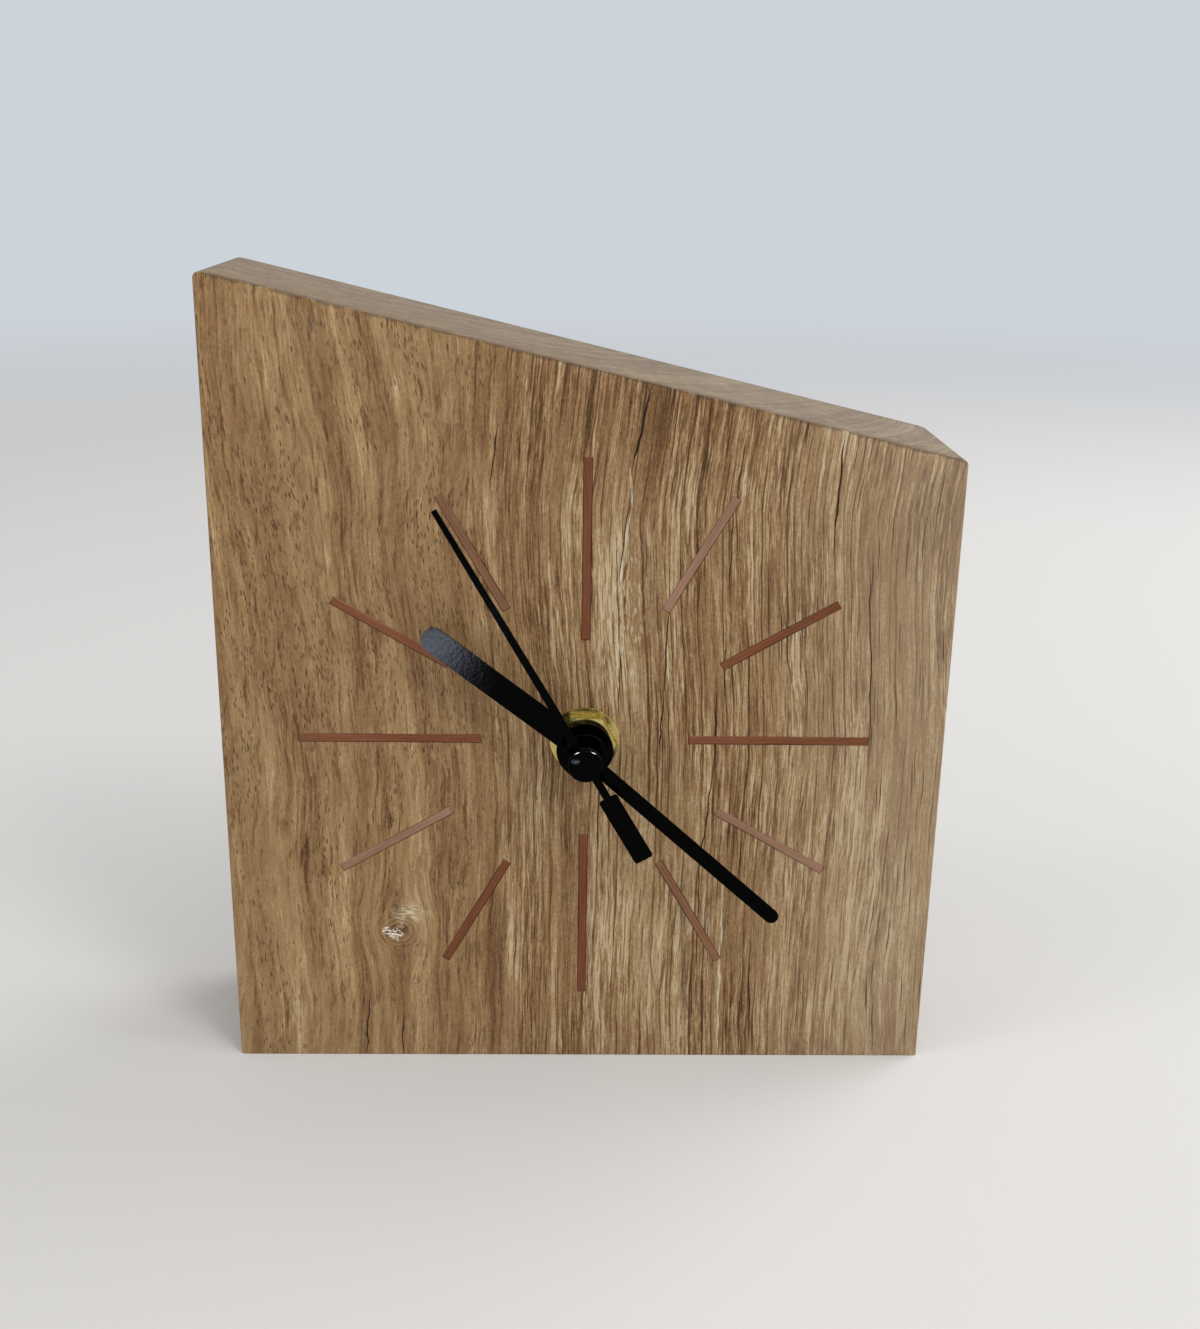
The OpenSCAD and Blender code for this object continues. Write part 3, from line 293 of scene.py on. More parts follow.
def merged(node):
    """Copies a CAD node and makes one clean skin of its loose triangles."""
    clear_selection()
    copy = bpy.data.objects.new(node + "_copy", frame["nodes"][node].data.copy())
    bpy.context.collection.objects.link(copy)
    copy.data.materials.clear()
    with editing(copy):
        bpy.ops.mesh.customdata_custom_splitnormals_clear()
        bpy.ops.mesh.remove_doubles(threshold=2e-6)
        bpy.ops.mesh.dissolve_limited(angle_limit=math.radians(1))
    return copy


def softened(node, width, segments=2):
    """A clean copy of a CAD node with its edges rounded."""
    return ease_edges(merged(node), width, segments)


def ring_of(obj, count):
    """Copies a piece evenly round the upright axis through zero and joins the copies into one."""
    copies = [obj]
    for index in range(1, count):
        take(obj)
        bpy.ops.object.duplicate(linked=False)
        copies.append(settle(bpy.context.object, Matrix.Rotation(math.tau * index / count, 4, "Z")))
    take(obj)
    for copy in copies:
        copy.select_set(True)
    bpy.ops.object.join()
    return obj


def settle(obj, matrix):
    """Moves a piece from the frame that it was modelled in to its place, which goes into its mesh."""
    take(obj)
    obj.matrix_world = matrix
    bpy.ops.object.transform_apply()
    return obj


def lay_on_dial(obj, turn=0.0):
    """Turns a piece clockwise from 12 o'clock and lays it on the face."""
    return settle(obj, DIAL @ Matrix.Rotation(math.radians(-turn), 4, "Z"))


def stand_behind(obj, node):
    """Stands a piece, modelled with the case's front at zero and the back upwards, on its node's axis."""
    low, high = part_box(node)
    axis = Vector(((low.x + high.x) / 2, CASE_Y, (low.z + high.z) / 2))
    return settle(obj, Matrix.Translation(axis) @ Matrix.Rotation(math.radians(-90), 4, "X"))


def lay_along_x(obj, node):
    """Lays a piece that was turned upright from zero along its node, which runs along X."""
    low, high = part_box(node)
    start = Vector((low.x, (low.y + high.y) / 2, (low.z + high.z) / 2))
    return settle(obj, Matrix.Translation(start) @ Matrix.Rotation(math.radians(90), 4, "Y"))


def smooth(obj, angle=35):
    """Shades a piece smooth, apart from edges sharper than the angle in degrees."""
    take(obj)
    bpy.ops.object.shade_smooth_by_angle(angle=math.radians(angle))
    return obj


def painted_pieces():
    """The collection of the black pieces, which the lamps for their sheen light alone."""
    return bpy.data.collections.get("painted") or bpy.data.collections.new("painted")


def fit_piece(obj, name, node):
    """Names a finished piece, gives it its material and puts it in the place of its CAD node."""
    material = obj.data.materials[0] if obj.data.materials else material_for(node)
    obj.name = obj.data.name = name
    obj.data.materials.clear()
    obj.data.materials.append(material)
    if material.name == "gloss_black_paint":
        painted_pieces().objects.link(obj)
    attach(obj, frame["nodes"][node]["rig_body"])
    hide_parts(node)
    return obj


def fit_softened(nodes, width, segments=2):
    """Puts softened copies, moulded or stamped, in the places of some CAD nodes."""
    for node in nodes.split():
        fit_piece(softened(node, width, segments), node + "_finished", node)


def heights(node):
    """Bottom and top above the face, in millimetres, of a CAD node on the dial, and its radius."""
    low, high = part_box(node)
    return (BLOCK_LOW.y - high.y) / MM, (BLOCK_LOW.y - low.y) / MM, (high.x - low.x) / MM / 2


def lengthwise(node):
    """Radius and length, in millimetres, of a CAD node that lies along X."""
    low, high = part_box(node)
    return (high.z - low.z) / MM / 2, (high.x - low.x) / MM


# ---------------- sizes and colours

def length(name, description, default, low, high):
    return FloatProperty(name=name, description=description, default=default * MM, min=low * MM,
                         max=high * MM, subtype="DISTANCE", unit="LENGTH", precision=5)


def colour(name, description, hex_colour):
    return FloatVectorProperty(name=name, description=description, subtype="COLOR", size=4,
                               default=linear(hex_colour), min=0, max=1)


class ClockSizes(bpy.types.PropertyGroup):
    """Sizes of the finer forms."""
    block_edge: length("Block edge", "Rounding of the oak block's outer edges", 0.18, 0.1, 0.8)
    bar_edge: length("Bar edge", "Rounding of the copper bars' edges", 0.2, 0.05, 0.4)
    hand_edge: length("Hand edge", "Rounding of the hands' edges under the paint", 0.14, 0.05, 0.22)
    brass_edge: length("Brass edge", "Rounding of the nut's and the washer's edges", 0.12, 0.03, 0.2)
    thread_pitch: length("Thread pitch", "Pitch of the thread on the bush", 0.75, 0.5, 1.0)
    case_edge: length("Case edge", "Rounding of the moulded case's edges", 0.3, 0.1, 0.6)
    wheel_edge: length("Wheel edge", "Rounding of the wheels' edges", 0.05, 0.02, 0.1)
    wire: length("Wire", "Distance between two turns of the coil, drawn coarser than real", 0.25, 0.1, 0.5)
    knob_grooves: IntProperty(name="Knob grooves", description="Finger grooves round the knob", default=18,
                              min=12, max=24)


class ClockColours(bpy.types.PropertyGroup):
    """Colours of the materials."""
    oak_line: colour("Oak lines", "Darkest lines of the oak", "#40290F")
    oak_dark: colour("Dark oak", "Darker fibres of the oak", "#66482A")
    oak_body: colour("Oak", "Body of the oak", "#886A47")
    oak_light: colour("Light oak", "Lighter fibres of the oak", "#A1845C")
    oak_pale: colour("Pale oak", "Palest fibres of the oak", "#BFA67F")
    oak_pore: colour("Oak pores", "Open pores", "#3C2511")
    copper_brown_dark: colour("Browned copper, dark", "Darker clouds on the browned bars", "#6B4029")
    copper_brown: colour("Browned copper", "Bars that have browned", "#96634A")
    copper_dull_dark: colour("Dulled copper, dark", "Darker clouds on the dulled bars", "#6E4A33")
    copper_dull: colour("Dulled copper", "Bars that are between brown and pink", "#A97F62")
    copper_pink_dark: colour("Rubbed copper, dark", "Darker clouds on the rubbed bars", "#8A6753")
    copper_pink: colour("Rubbed copper", "Bars that are freshly rubbed", "#B8917A")
    paint: colour("Black paint", "Paint of the hands", "#020203")
    brass_dark: colour("Brass, dark", "Duller marks on the brass", "#A8954F")
    brass: colour("Brass", "Washer, nut and bush", "#DCCA86")


# ---------------- materials

# Lines of the face: x and z of the top, x and z of the foot, half width in millimetres
CRACKS = ((12.9, 158.5, 9.2, 140, 0.32), (53.3, 148.5, 52.5, 122, 0.3), (-49.3, 16, -50.8, -1, 0.22),
          (-41.7, 11.5, -42, -1, 0.18), (9.4, 140.5, 6.5, 112, 0.14), (60.4, 122, 64, 76, 0.17),
          (42, 112, 43, 96, 0.16), (26.4, 51, 26.7, 20, 0.16), (39, 31, 39.8, 1, 0.18),
          (-19, 150, -20.5, 136, 0.2), (31, 135, 30.5, 112, 0.14), (17.9, 113, 17.1, 90, 0.2),
          (17.2, 92, 16.6, 75, 0.17), (28.7, 91, 29, 72, 0.26), (29, 75, 25.8, 42, 0.22),
          (7.3, 101, 7.5, 83, 0.12), (42.6, 111, 45.5, 91, 0.14), (30.1, 109, 30.5, 85, 0.12))
VEINS = ((8.9, 141, 9.3, 132, 0.3), (9.3, 133, 6.6, 112, 0.42), (6.6, 112.5, 6.9, 88, 0.2),
         (31.9, 50, 32.2, -1, 0.34), (17.6, 104, 18, 92, 0.4))
STAINS = ((22.4, 52, 24.3, 8, 0.9), (-56.4, 174, -56.8, 166, 0.8), (16, 48, 16.4, 4, 0.3))
# Patches of the face: x and z of the middle, half width, half height, how much paler or darker
PATCHES = ((14, 154, 44, 26, -0.22), (73, 134, 12, 22, -0.17), (62, 34, 30, 60, 0.13),
           (-6, 96, 9, 30, -0.06), (-60, 24, 34, 40, 0.06),
           (14, 26, 26, 44, 0.08), (-19.4, 22, 4.5, 38, -0.2), (24, 92, 24, 34, -0.1))
KNOT = (-42, 32.5)


def along_face(put, x, z, marks):
    """Strength of the marks that run along the grain of the face, each thinning out towards its ends."""
    total = 0
    for x_top, z_top, x_foot, z_foot, half in marks:
        line = put("MapRange", z, z_foot, z_top, x_foot, x_top, clamp=False)
        off = put("ABSOLUTE", put("-", x, line))
        middle, reach = (z_top + z_foot) / 2, (z_top - z_foot) / 2
        away = put("ABSOLUTE", put("-", z, middle))
        width = put("MapRange", away, reach * 0.4, reach, half, half * 0.1)
        mark = put("MapRange", off, put("*", width, 0.4), width, 1, 0, interpolation_type="SMOOTHSTEP")
        mark = put("*", mark, put("LESS_THAN", away, reach))
        total = put("MAXIMUM", mark, total)
    return total


def near_point(put, x, z, middle_x, middle_z, half_w, half_h):
    """Fades from one at a point of the face to nothing on an ellipse round it."""
    place = put("CombineXYZ", put("-", x, middle_x), put("-", z, middle_z), 0)
    scaled = put("VectorMath", place, (1 / half_w, 1 / half_h, 1), operation="MULTIPLY")
    away = put("VectorMath", scaled, operation="LENGTH")
    return put("MapRange", away, 0, 1, 1, 0, interpolation_type="SMOOTHSTEP")


def with_knot(put, x, z, on_face, wood):
    """The small knot: rings and pale fibres round a brown hollow with a chalky white rim."""
    ragged = put("*", put("-", put("TexNoise", in_mm(put), 0.55, 3, 0.6), 0.5), 5)
    off_x, off_z = put("+", x, ragged), put("+", z, ragged)
    rings = near_point(put, x, z, *KNOT, 9, 8)
    ring = put("SINE", put("*+", rings, 34, ragged))
    ring = put("Mix", put("MapRange", ring, -1, 1), "#6E5134", "#A88B62")
    rings = put("*", rings, 0.5)
    fibre = put("TexNoise", put("Mapping", in_mm(put), Rotation=(0, 0.5, 0), Scale=(0.5, 1, 2.4)), 1)
    fibre = put("MapRange", fibre, 0.45, 0.55)
    fibres = put("*", near_point(put, off_x, off_z, -39.5, 37, 5.2, 3.5), fibre)
    hollow = put("MapRange", near_point(put, off_x, off_z, -42.6, 32.6, 3, 1.9), 0.1, 0.3)
    chalk = near_point(put, off_x, put("-", z, ragged), -43.4, 31.9, 3.1, 1.8)
    chalk = put("*", put("MapRange", chalk, 0.2, 0.35), fibre)
    for amount, tint in ((rings, ring), (fibres, "#C4BBA0"), (hollow, "#5B4129"), (chalk, "#DDD6C6")):
        wood = put("Mix", put("*", amount, on_face), wood, tint)
    return wood


def grain_flow(put, x, z, leftness, on_face):
    """Where a fibre that passes here meets the middle of the block's height: the same value all along the
    fibre. The grain swings slowly, ripples within centimetres and trembles within millimetres."""
    flow = x
    for scale, detail, right_reach, left_reach in (((0.022, 0.03, 0.016), 1, 3.5, 10),
                                                   ((0.16, 0.16, 0.05), 3, 1.5, 2.4),
                                                   ((0.35, 0.35, 0.14), 2, 0.42, 0.5)):
        swing = put("TexNoise", in_mm(put, scale), 1, detail)
        reach = put("MapRange", leftness, 0, 1, right_reach, left_reach)
        flow = put("*+", put("-", swing, 0.5), reach, flow)
    right_lean = put("+", put("MapRange", z, 128, 70, 0, 2.6, interpolation_type="SMOOTHSTEP"),
                     put("MapRange", z, 132, 170, 0, 4))
    left_lean = put("MapRange", z, 175, 70, 0, 9)
    lean = put("Mix", leftness, right_lean, left_lean, data_type="FLOAT")
    flow = put("-", flow, lean)
    # The knot pushes the fibres aside
    knot = near_point(put, x, z, *KNOT, 13, 17)
    aside = put("*", put("-", x, KNOT[0]), put("*", knot, on_face))
    return put("*+", aside, -0.8, flow)


def surface(put, first, second, both, **shader):
    """Finishes a material whose tone runs between two colours with a pattern from nought to one."""
    put("OutputMaterial", put("BsdfPrincipled", Base_Color=put("Mix", both, first, second), **shader))


def oiled_oak(colours):
    """Oak, planed, sanded and oiled: honey-brown fibres with open pores that show as fine dark dashes.
    The rings lie round a pith behind the left edge, so the face is plain on its left, where they run flat
    under it, and closely lined on its right, where it cuts them upright. The sawn top shows their ends."""
    material, put = new_material("oiled_oak")
    x, y, z = put("SeparateXYZ", in_mm(put)).outputs
    leftness = put("MapRange", x, 2, -42, interpolation_type="SMOOTHSTEP")
    rightness = put("-", 1, leftness)
    on_face = put("MapRange", y, -19.5, -17, 1, 0)
    flow = grain_flow(put, x, z, leftness, on_face)

    def drawn_out(squeeze, path=flow):
        """The place on the block, squeezed along the grain, so that a pattern there is drawn out."""
        return put("CombineXYZ", path, y, put("*", z, squeeze))

    # Rings one or two millimetres apart, each with a crisp dark line of open pores on one side
    across = put("CombineXYZ", put("+", flow, 58), put("-", y, 62), 0)
    depth = put("*+", flow, 0.1, put("VectorMath", across, operation="LENGTH"))
    layers = put("CombineXYZ", depth, put("*", flow, 0.05), put("*", z, 0.012))
    year = put("*+", put("TexNoise", layers, 0.16, 1), 4.5, put("*", depth, 0.72))
    ring = put("FRACT", year)
    age = put("TexWhiteNoise", put("FLOOR", year), noise_dimensions="1D")
    line = put("MapRange", ring, 0.08, 0.24, 1, 0, interpolation_type="SMOOTHSTEP")
    broken = put("MapRange", put("TexNoise", drawn_out(0.03), 0.8, 2), 0.46, 0.56)
    line = put("*", put("*", line, broken), put("MapRange", age, 0, 1, 0.4, 1))
    early = put("MapRange", ring, 0.05, 0.5, 1, 0)

    # Fibres, streaks and bands: each is its own width across the grain and runs far along it
    def fibres(across, along, detail, rough=0.6, path=flow):
        return put("TexNoise", drawn_out(across / along, path), 1 / across, detail, rough)

    strand = put("MapRange", fibres(0.52, 15, 3, 0.65), 0.36, 0.64)
    hair = put("MapRange", fibres(0.22, 3.6, 2), 0.36, 0.64)
    stroke = fibres(1, 10, 4, 0.65, put("*+", z, -0.12, flow))
    streak = put("MapRange", fibres(1, 24, 2), 0.54, 0.66)
    band = put("MapRange", fibres(2.7, 48, 3), 0.4, 0.6)
    broad = put("MapRange", fibres(8, 160, 2), 0.4, 0.6)
    mottle = fibres(3, 11, 3)
    low_band = put("MapRange", fibres(4.4, 90, 2), 0.4, 0.6)
    lively = put("MapRange", fibres(6, 34, 2), 0.38, 0.62, 0.45, 1.35)
    fleck = put("MapRange", fibres(1.4, 11, 2, path=put("*+", z, -0.1, flow)), 0.42, 0.36)
    grit = put("TexNoise", in_mm(put, (2.6, 2.6, 1.6)), 1, 1)

    # Pores: a fifth of a millimetre wide, 1 mm long in chains on the left, 5 mm long in the rings' lines
    chains = put("TexNoise", drawn_out(0.14), 0.12, 2, 0.6)
    chains = put("*", put("MapRange", chains, 0.46, 0.56, 0.06, 0.85), put("MapRange", z, 10, 75, 0.3, 1))
    pore = 0
    for shortness, crowd in ((0.4, put("*", chains, leftness)),
                             (0.06, put("*", put("MapRange", early, 0, 1, 0.12, 0.75), rightness))):
        cells = put("TexVoronoi", drawn_out(shortness / 2.5), 2.5)
        chance = put("SeparateXYZ", cells.outputs["Color"]).outputs
        here = put("LESS_THAN", chance[0], crowd)
        dash = put("MapRange", cells, 0.24, 0.33, 1, 0, interpolation_type="SMOOTHSTEP")
        dash = put("*", put("*", dash, here), put("MapRange", chance[1], 0, 0.7, 0.4, 1))
        pore = put("MAXIMUM", dash, pore)

    # From dark to pale: nought is a dark line and one is a pale fibre
    def mixed(start, parts):
        """Adds up patterns, each with its weight on the left and on the right."""
        for part, left, right in parts:
            weight = put("MapRange", leftness, 0, 1, right, left)
            start = put("*+", put("-", part, 0.5), weight, start)
        return start

    lined = mixed(0, ((strand, 0.17, 0.36), (hair, 0.15, 0.36), (streak, -0.14, -0.16), (band, 0.15, 0.2),
                      (ring, 0.03, 0.12), (age, 0.02, 0.12)))
    tone = put("*+", lined, lively, 0.51)
    tone = mixed(tone, ((stroke, 0.5, 0.2), (grit, 0.35, 0.4), (broad, 0.14, 0.15), (mottle, 0.22, 0.25)))
    tone = put("*+", fleck, put("*", leftness, -0.2), tone)
    lowness = put("*", put("MapRange", z, 75, 25, 0, 0.24), leftness)
    tone = put("*+", put("-", low_band, 0.5), lowness, tone)
    for *place, change in PATCHES:
        patch = near_point(put, x, z, *place)
        tone = put("*+", patch, put("*", on_face, change), tone)
    calm = near_point(put, x, z, 66, 20, 40, 90)
    faint = put("MapRange", leftness, 0, 1, 0.5, 0.08)
    faint = put("*", faint, put("MapRange", calm, 0, 1, 1, 0.4))
    tone = put("-", tone, put("*", line, faint))
    wood = put("ValToRGB", tone, stops=[(0, colours.oak_line), (0.25, colours.oak_dark),
                                        (0.5, colours.oak_body), (0.75, colours.oak_light),
                                        (1, colours.oak_pale)])
    # Warmer and redder patches on the left, greyer wood towards the right edge
    ruddy = put("MapRange", mottle, 0.48, 0.34, 0, 0.35)
    grey = put("*", put("MapRange", x, 36, 70, 0, 0.32), on_face)
    pale = put("*", put("MapRange", tone, 0.6, 1, 0, 0.5), rightness)
    for amount, tint in ((ruddy, "#7E5835"), (grey, "#A6957D"), (pale, "#B4A68B")):
        wood = put("Mix", amount, wood, tint)
    edge = put("*", near_point(put, x, z, -78, 150, 9, 80), 0.15)
    wood = put("Mix", edge, wood, (1.1, 0.98, 0.75, 1), blend_type="MULTIPLY")

    # The sawn ends get their own greyer tone with a painted sky reflection; pores and cracks are painted
    # darker
    normal_z = put("SeparateXYZ", put("NewGeometry").outputs["Normal"]).outputs[2]
    # Tops and bottoms, picked by their normal, turn paler grey: partly end grain, partly a painted
    # reflection of the sky
    end = put("MapRange", put("ABSOLUTE", normal_z), 0.6, 0.9, 0, 0.62)
    sawn_tone_and_sky_sheen = put("Mix", age, "#59534A", "#736B5C")
    nearby = put("TexNoise", in_mm(put, (0.3, 0.3, 0.17)), 1, 3)
    marked = put("*+", put("-", nearby, 0.5), 1.5, x)
    stains = put("*", along_face(put, marked, z, STAINS), put("*", on_face, strand))
    chalky = put("MapRange", put("TexNoise", drawn_out(0.16), 2.2, 1), 0.57, 0.64, 0, 0.8)
    chalky = put("*", chalky, near_point(put, x, z, 8, 108, 9, 34))
    veins = put("MAXIMUM", along_face(put, marked, z, VEINS), chalky)
    veins = put("*", veins, put("*", on_face, put("MapRange", hair, 0, 0.6, 0.3, 1)))
    cracks = put("*", along_face(put, marked, z, CRACKS), on_face)
    below_top = put("-", put("MapRange", x, -80, 80, 180, 143), z)
    ragged = put("MapRange", nearby, 0.4, 0.6, 0.2, 1)
    ragged = put("*", put("MapRange", below_top, 0.2, ragged, 0.6, 0), on_face)
    for amount, tint in ((end, sawn_tone_and_sky_sheen), (put("*", pore, 0.9), colours.oak_pore),
                         (put("*", stains, 0.75), "#3B342B"), (put("*", veins, 0.8), "#D0C3A5"),
                         (ragged, "#4A3520"), (cracks, "#271A0E")):
        wood = put("Mix", amount, wood, tint)
    wood = with_knot(put, x, z, on_face, wood)

    opened = put("MAXIMUM", put("MAXIMUM", pore, put("*", line, rightness)), put("*", cracks, 1.5))
    height = put("*+", strand, 0.3, put("*", opened, -1))
    bump = put("Bump", Strength=0.7, Distance=0.12 * MM, Height=height)
    gloss = put("MapRange", strand, 0, 1, 0.5, 0.66)
    put("OutputMaterial", put("BsdfPrincipled", Base_Color=wood, Normal=bump, IOR=1.47,
                              Specular_IOR_Level=0.25, Roughness=put("MAXIMUM", gloss, cracks)))
    return material


def brushed_copper(name, dull, bright):
    """Copper strip, drawn, brushed along its length and left to brown: fine scratches run lengthwise, and
    the brown has spread in clouds."""
    material, put = new_material(name)
    place = put("Mapping", put("TexCoord").outputs["UV"], Scale=(3.4, 0.08, 1))
    scratch = put("TexNoise", place, 1, 4, 0.7)
    cloud = put("TexNoise", in_mm(put, 0.03), 1, 3)
    shade = put("MapRange", put("+", put("*", scratch, 0.65), put("*", cloud, 0.35)), 0.36, 0.64)
    bump = put("Bump", Strength=0.35, Distance=0.02 * MM, Height=scratch)
    surface(put, dull, bright, shade, Metallic=1, Normal=bump,
            Roughness=put("MapRange", scratch, 0.3, 0.7, 0.3, 0.5))
    return material


def speckled(name, first, second, grain, bump_depth, rough, shader):
    """A surface whose tone and gloss vary finely. The second tone may be a colour of the panel."""
    material, put = new_material(name)
    second = getattr(bpy.context.scene.clock_colours, second, second)
    fine = put("TexNoise", in_mm(put, 1 / grain), 1, 4, 0.6)
    cloud = put("TexNoise", in_mm(put, 0.12), 1, 2)
    both = put("MapRange", put("+", put("*", fine, 0.6), put("*", cloud, 0.4)), 0.35, 0.65)
    bump = put("Bump", Strength=1, Distance=bump_depth * MM, Height=fine)
    surface(put, first, second, both, Normal=bump, **shader, Roughness=put("MapRange", both, 0, 1, *rough))
    return material


def turned_brass():
    """Turned brass, tumbled bright: yellow with tool marks in rings round the dial's centre. The marks are
    really a tenth of a millimetre apart and are drawn at a quarter."""
    material, put = new_material("turned_brass")
    colours = bpy.context.scene.clock_colours
    x, y, z = put("SeparateXYZ", in_mm(put)).outputs
    centre = put("CombineXYZ", x, 0, put("-", z, DIAL_Z / MM))
    radius = put("VectorMath", centre, operation="LENGTH")
    marks = put("TexNoise", put("CombineXYZ", radius, put("*", y, 0.8), 0), 4, 3)
    cloud = put("TexNoise", in_mm(put, 0.5), 1, 3)
    both = put("MapRange", put("+", put("*", marks, 0.5), put("*", cloud, 0.5)), 0.36, 0.64)
    bump = put("Bump", Strength=0.05, Distance=0.005 * MM, Height=marks)
    surface(put, colours.brass_dark, colours.brass, both, Normal=bump, Metallic=1,
            Roughness=put("MapRange", cloud, 0.35, 0.65, 0.2, 0.3))
    return material


def grained_abs():
    """ABS moulded in a spark-eroded tool: black, with an even grain of small pits that breaks its gloss."""
    material, put = new_material("grained_abs")
    pits = put("TexVoronoi", in_mm(put), 3.2)
    cloud = put("TexNoise", in_mm(put, 0.08), 1, 3)
    grain = put("MapRange", pits, 0.1, 0.7)
    both = put("+", put("*", grain, 0.5), put("*", cloud, 0.5))
    bump = put("Bump", Strength=0.5, Distance=0.03 * MM, Height=grain)
    surface(put, "#0F0F11", "#1E1E21", both, Normal=bump, IOR=1.53,
            Roughness=put("MapRange", cloud, 0.35, 0.65, 0.3, 0.44))
    return material


def enamelled_wire():
    """Copper wire in clear enamel, wound tight: glossy red-brown that changes a little from turn to turn."""
    material, put = new_material("enamelled_wire")
    turns = put("TexNoise", in_mm(put, (4, 0.1, 0.1)), 1, 2)
    surface(put, "#6E3015", "#A9602F", put("MapRange", turns, 0.35, 0.65), Metallic=0.8,
            Roughness=put("MapRange", turns, 0.3, 0.7, 0.2, 0.34))
    return material


def solder_mask():
    """Glass-epoxy board under green solder mask: the copper tracks show through it as paler lines that
    stand up a little."""
    material, put = new_material("solder_mask")
    x, _, z = put("SeparateXYZ", in_mm(put)).outputs
    tracks = put("TexBrick", Vector=put("CombineXYZ", x, z, 0), Scale=1, Mortar_Size=0.16, Mortar_Smooth=0.2,
                 Brick_Width=4.2, Row_Height=1.5, offset=0.37)
    tracks = tracks.outputs["Fac"]
    weave = put("TexNoise", in_mm(put, 1.5), 1, 2)
    both = put("+", put("*", tracks, 0.7), put("*", weave, 0.3))
    bump = put("Bump", Strength=0.8, Distance=0.035 * MM, Height=tracks)
    surface(put, "#0E3A22", "#2E7A48", both, Normal=bump, IOR=1.5,
            Roughness=put("MapRange", weave, 0.3, 0.7, 0.22, 0.36))
    return material


def printed_sleeve():
    """PVC sleeve shrunk on the battery: glossy steel blue, with a silver band printed round the raised end
    and faint waves where it shrank."""
    material, put = new_material("printed_sleeve")
    x = put("SeparateXYZ", in_mm(put)).outputs[0]
    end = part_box("battery_sleeve")[1].x / MM
    band = put("GREATER_THAN", x, end - 9)
    line = put("LESS_THAN", put("ABSOLUTE", put("-", x, end - 10.5)), 0.4)
    waves = put("TexNoise", in_mm(put, (0.2, 1.2, 1.2)), 1, 2)
    blue = put("Mix", put("MapRange", waves, 0.35, 0.65), "#234469", "#2D5580")
    bump = put("Bump", Strength=0.4, Distance=0.05 * MM, Height=waves)
    surface(put, blue, "#A7ABB0", put("MAXIMUM", band, line), Normal=bump, IOR=1.53,
            Roughness=put("MapRange", waves, 0.3, 0.7, 0.2, 0.32))
    return material


# The plain finishes: two tones, size of their grain and depth of its bump in millimetres, lowest and highest
# roughness, what else the shader needs, and the CAD nodes that are made of them
SPECKLED = {
    # Aluminium sprayed with gloss black paint: so deep a black that only its reflections show, on a skin
    # that waves faintly a millimetre apart
    "gloss_black_paint": ("#010101", "paint", 0.9, 0.016, (0.05, 0.11),
                          {"IOR": 1.5, "Specular_IOR_Level": 0.03},
                          "hour_hand minute_hand second_hand second_cap"),
    # Acetal, moulded smooth: milky white and waxy, with flow clouds a few millimetres across
    "moulded_acetal": ("#DAD7CC", "#ECE9E0", 2.5, 0.004, (0.32, 0.44), {"IOR": 1.48},
                       "motion_wheel hour_wheel centre_wheel third_wheel intermediate_wheel rotor_pinion"),
    # ABS from a smooth tool: ivory plates, slightly duller where the mould is worn
    "moulded_ivory_abs": ("#CFC9B6", "#E0DBCC", 1.6, 0.008, (0.36, 0.52), {"IOR": 1.53},
                          "middle_plate train_bridge"),
    # Free-cutting steel, turned and polished: cool grey with fine bright marks
    "turned_steel": ("#9EA1A6", "#C8CACE", 0.4, 0.003, (0.2, 0.36), {"Metallic": 1},
                     "plate_screws coil_screws second_arbor crystal"),
    # Stamped soft iron, annealed: dull grey with bluish and brownish clouds
    "annealed_iron": ("#77777E", "#A29E98", 1.8, 0.006, (0.36, 0.54), {"Metallic": 1}, "stator coil_core"),
    # Steel strip, nickel plated: warm white metal with faint rolling marks and soft stains
    "nickelled_steel": ("#B3AEA2", "#D6D2C7", 0.9, 0.003, (0.18, 0.32), {"Metallic": 1},
                        "positive_contact negative_contact battery_can"),
    # Ground sintered magnet: near-black grey that sparkles finely
    "sintered_magnet": ("#26262A", "#46464C", 0.3, 0.01, (0.38, 0.55), {"Metallic": 0.6}, "rotor_magnet"),
    # Nitrile rubber, punched from sheet: flat black with a dusty, slightly pitted skin
    "nitrile_rubber": ("#121212", "#202020", 0.5, 0.02, (0.7, 0.88), {"IOR": 1.52}, "gasket"),
    # Natural nylon, moulded: yellowish cream and a little waxy
    "natural_nylon": ("#C6B996", "#DDD3B8", 1.4, 0.005, (0.36, 0.5), {"IOR": 1.53}, "coil_bobbin"),
    # Epoxy, dropped on and baked: glossy black with slow ripples from its flow
    "black_epoxy": ("#0A0A0B", "#161617", 1.2, 0.02, (0.12, 0.26), {"IOR": 1.55}, "chip"),
}
DRAWN = {
    turned_brass: "threaded_bush washer hex_nut minute_arbor hour_collet minute_collet second_tube",
    grained_abs: "front_case rear_cover setting_knob",
    enamelled_wire: "coil_winding",
    solder_mask: "circuit_board",
    printed_sleeve: "battery_sleeve",
}


def material_for(node):
    """The material of a CAD node, made when it is first asked for."""
    for name, (*look, nodes) in SPECKLED.items():
        if node in nodes.split():
            return bpy.data.materials.get(name) or speckled(name, *look)
    make = next(make for make, nodes in DRAWN.items() if node in nodes.split())
    return bpy.data.materials.get(make.__name__) or make()


# ---------------- pieces

class Step:
    """What every step of the panel shares."""
    bl_options = {"REGISTER", "UNDO"}


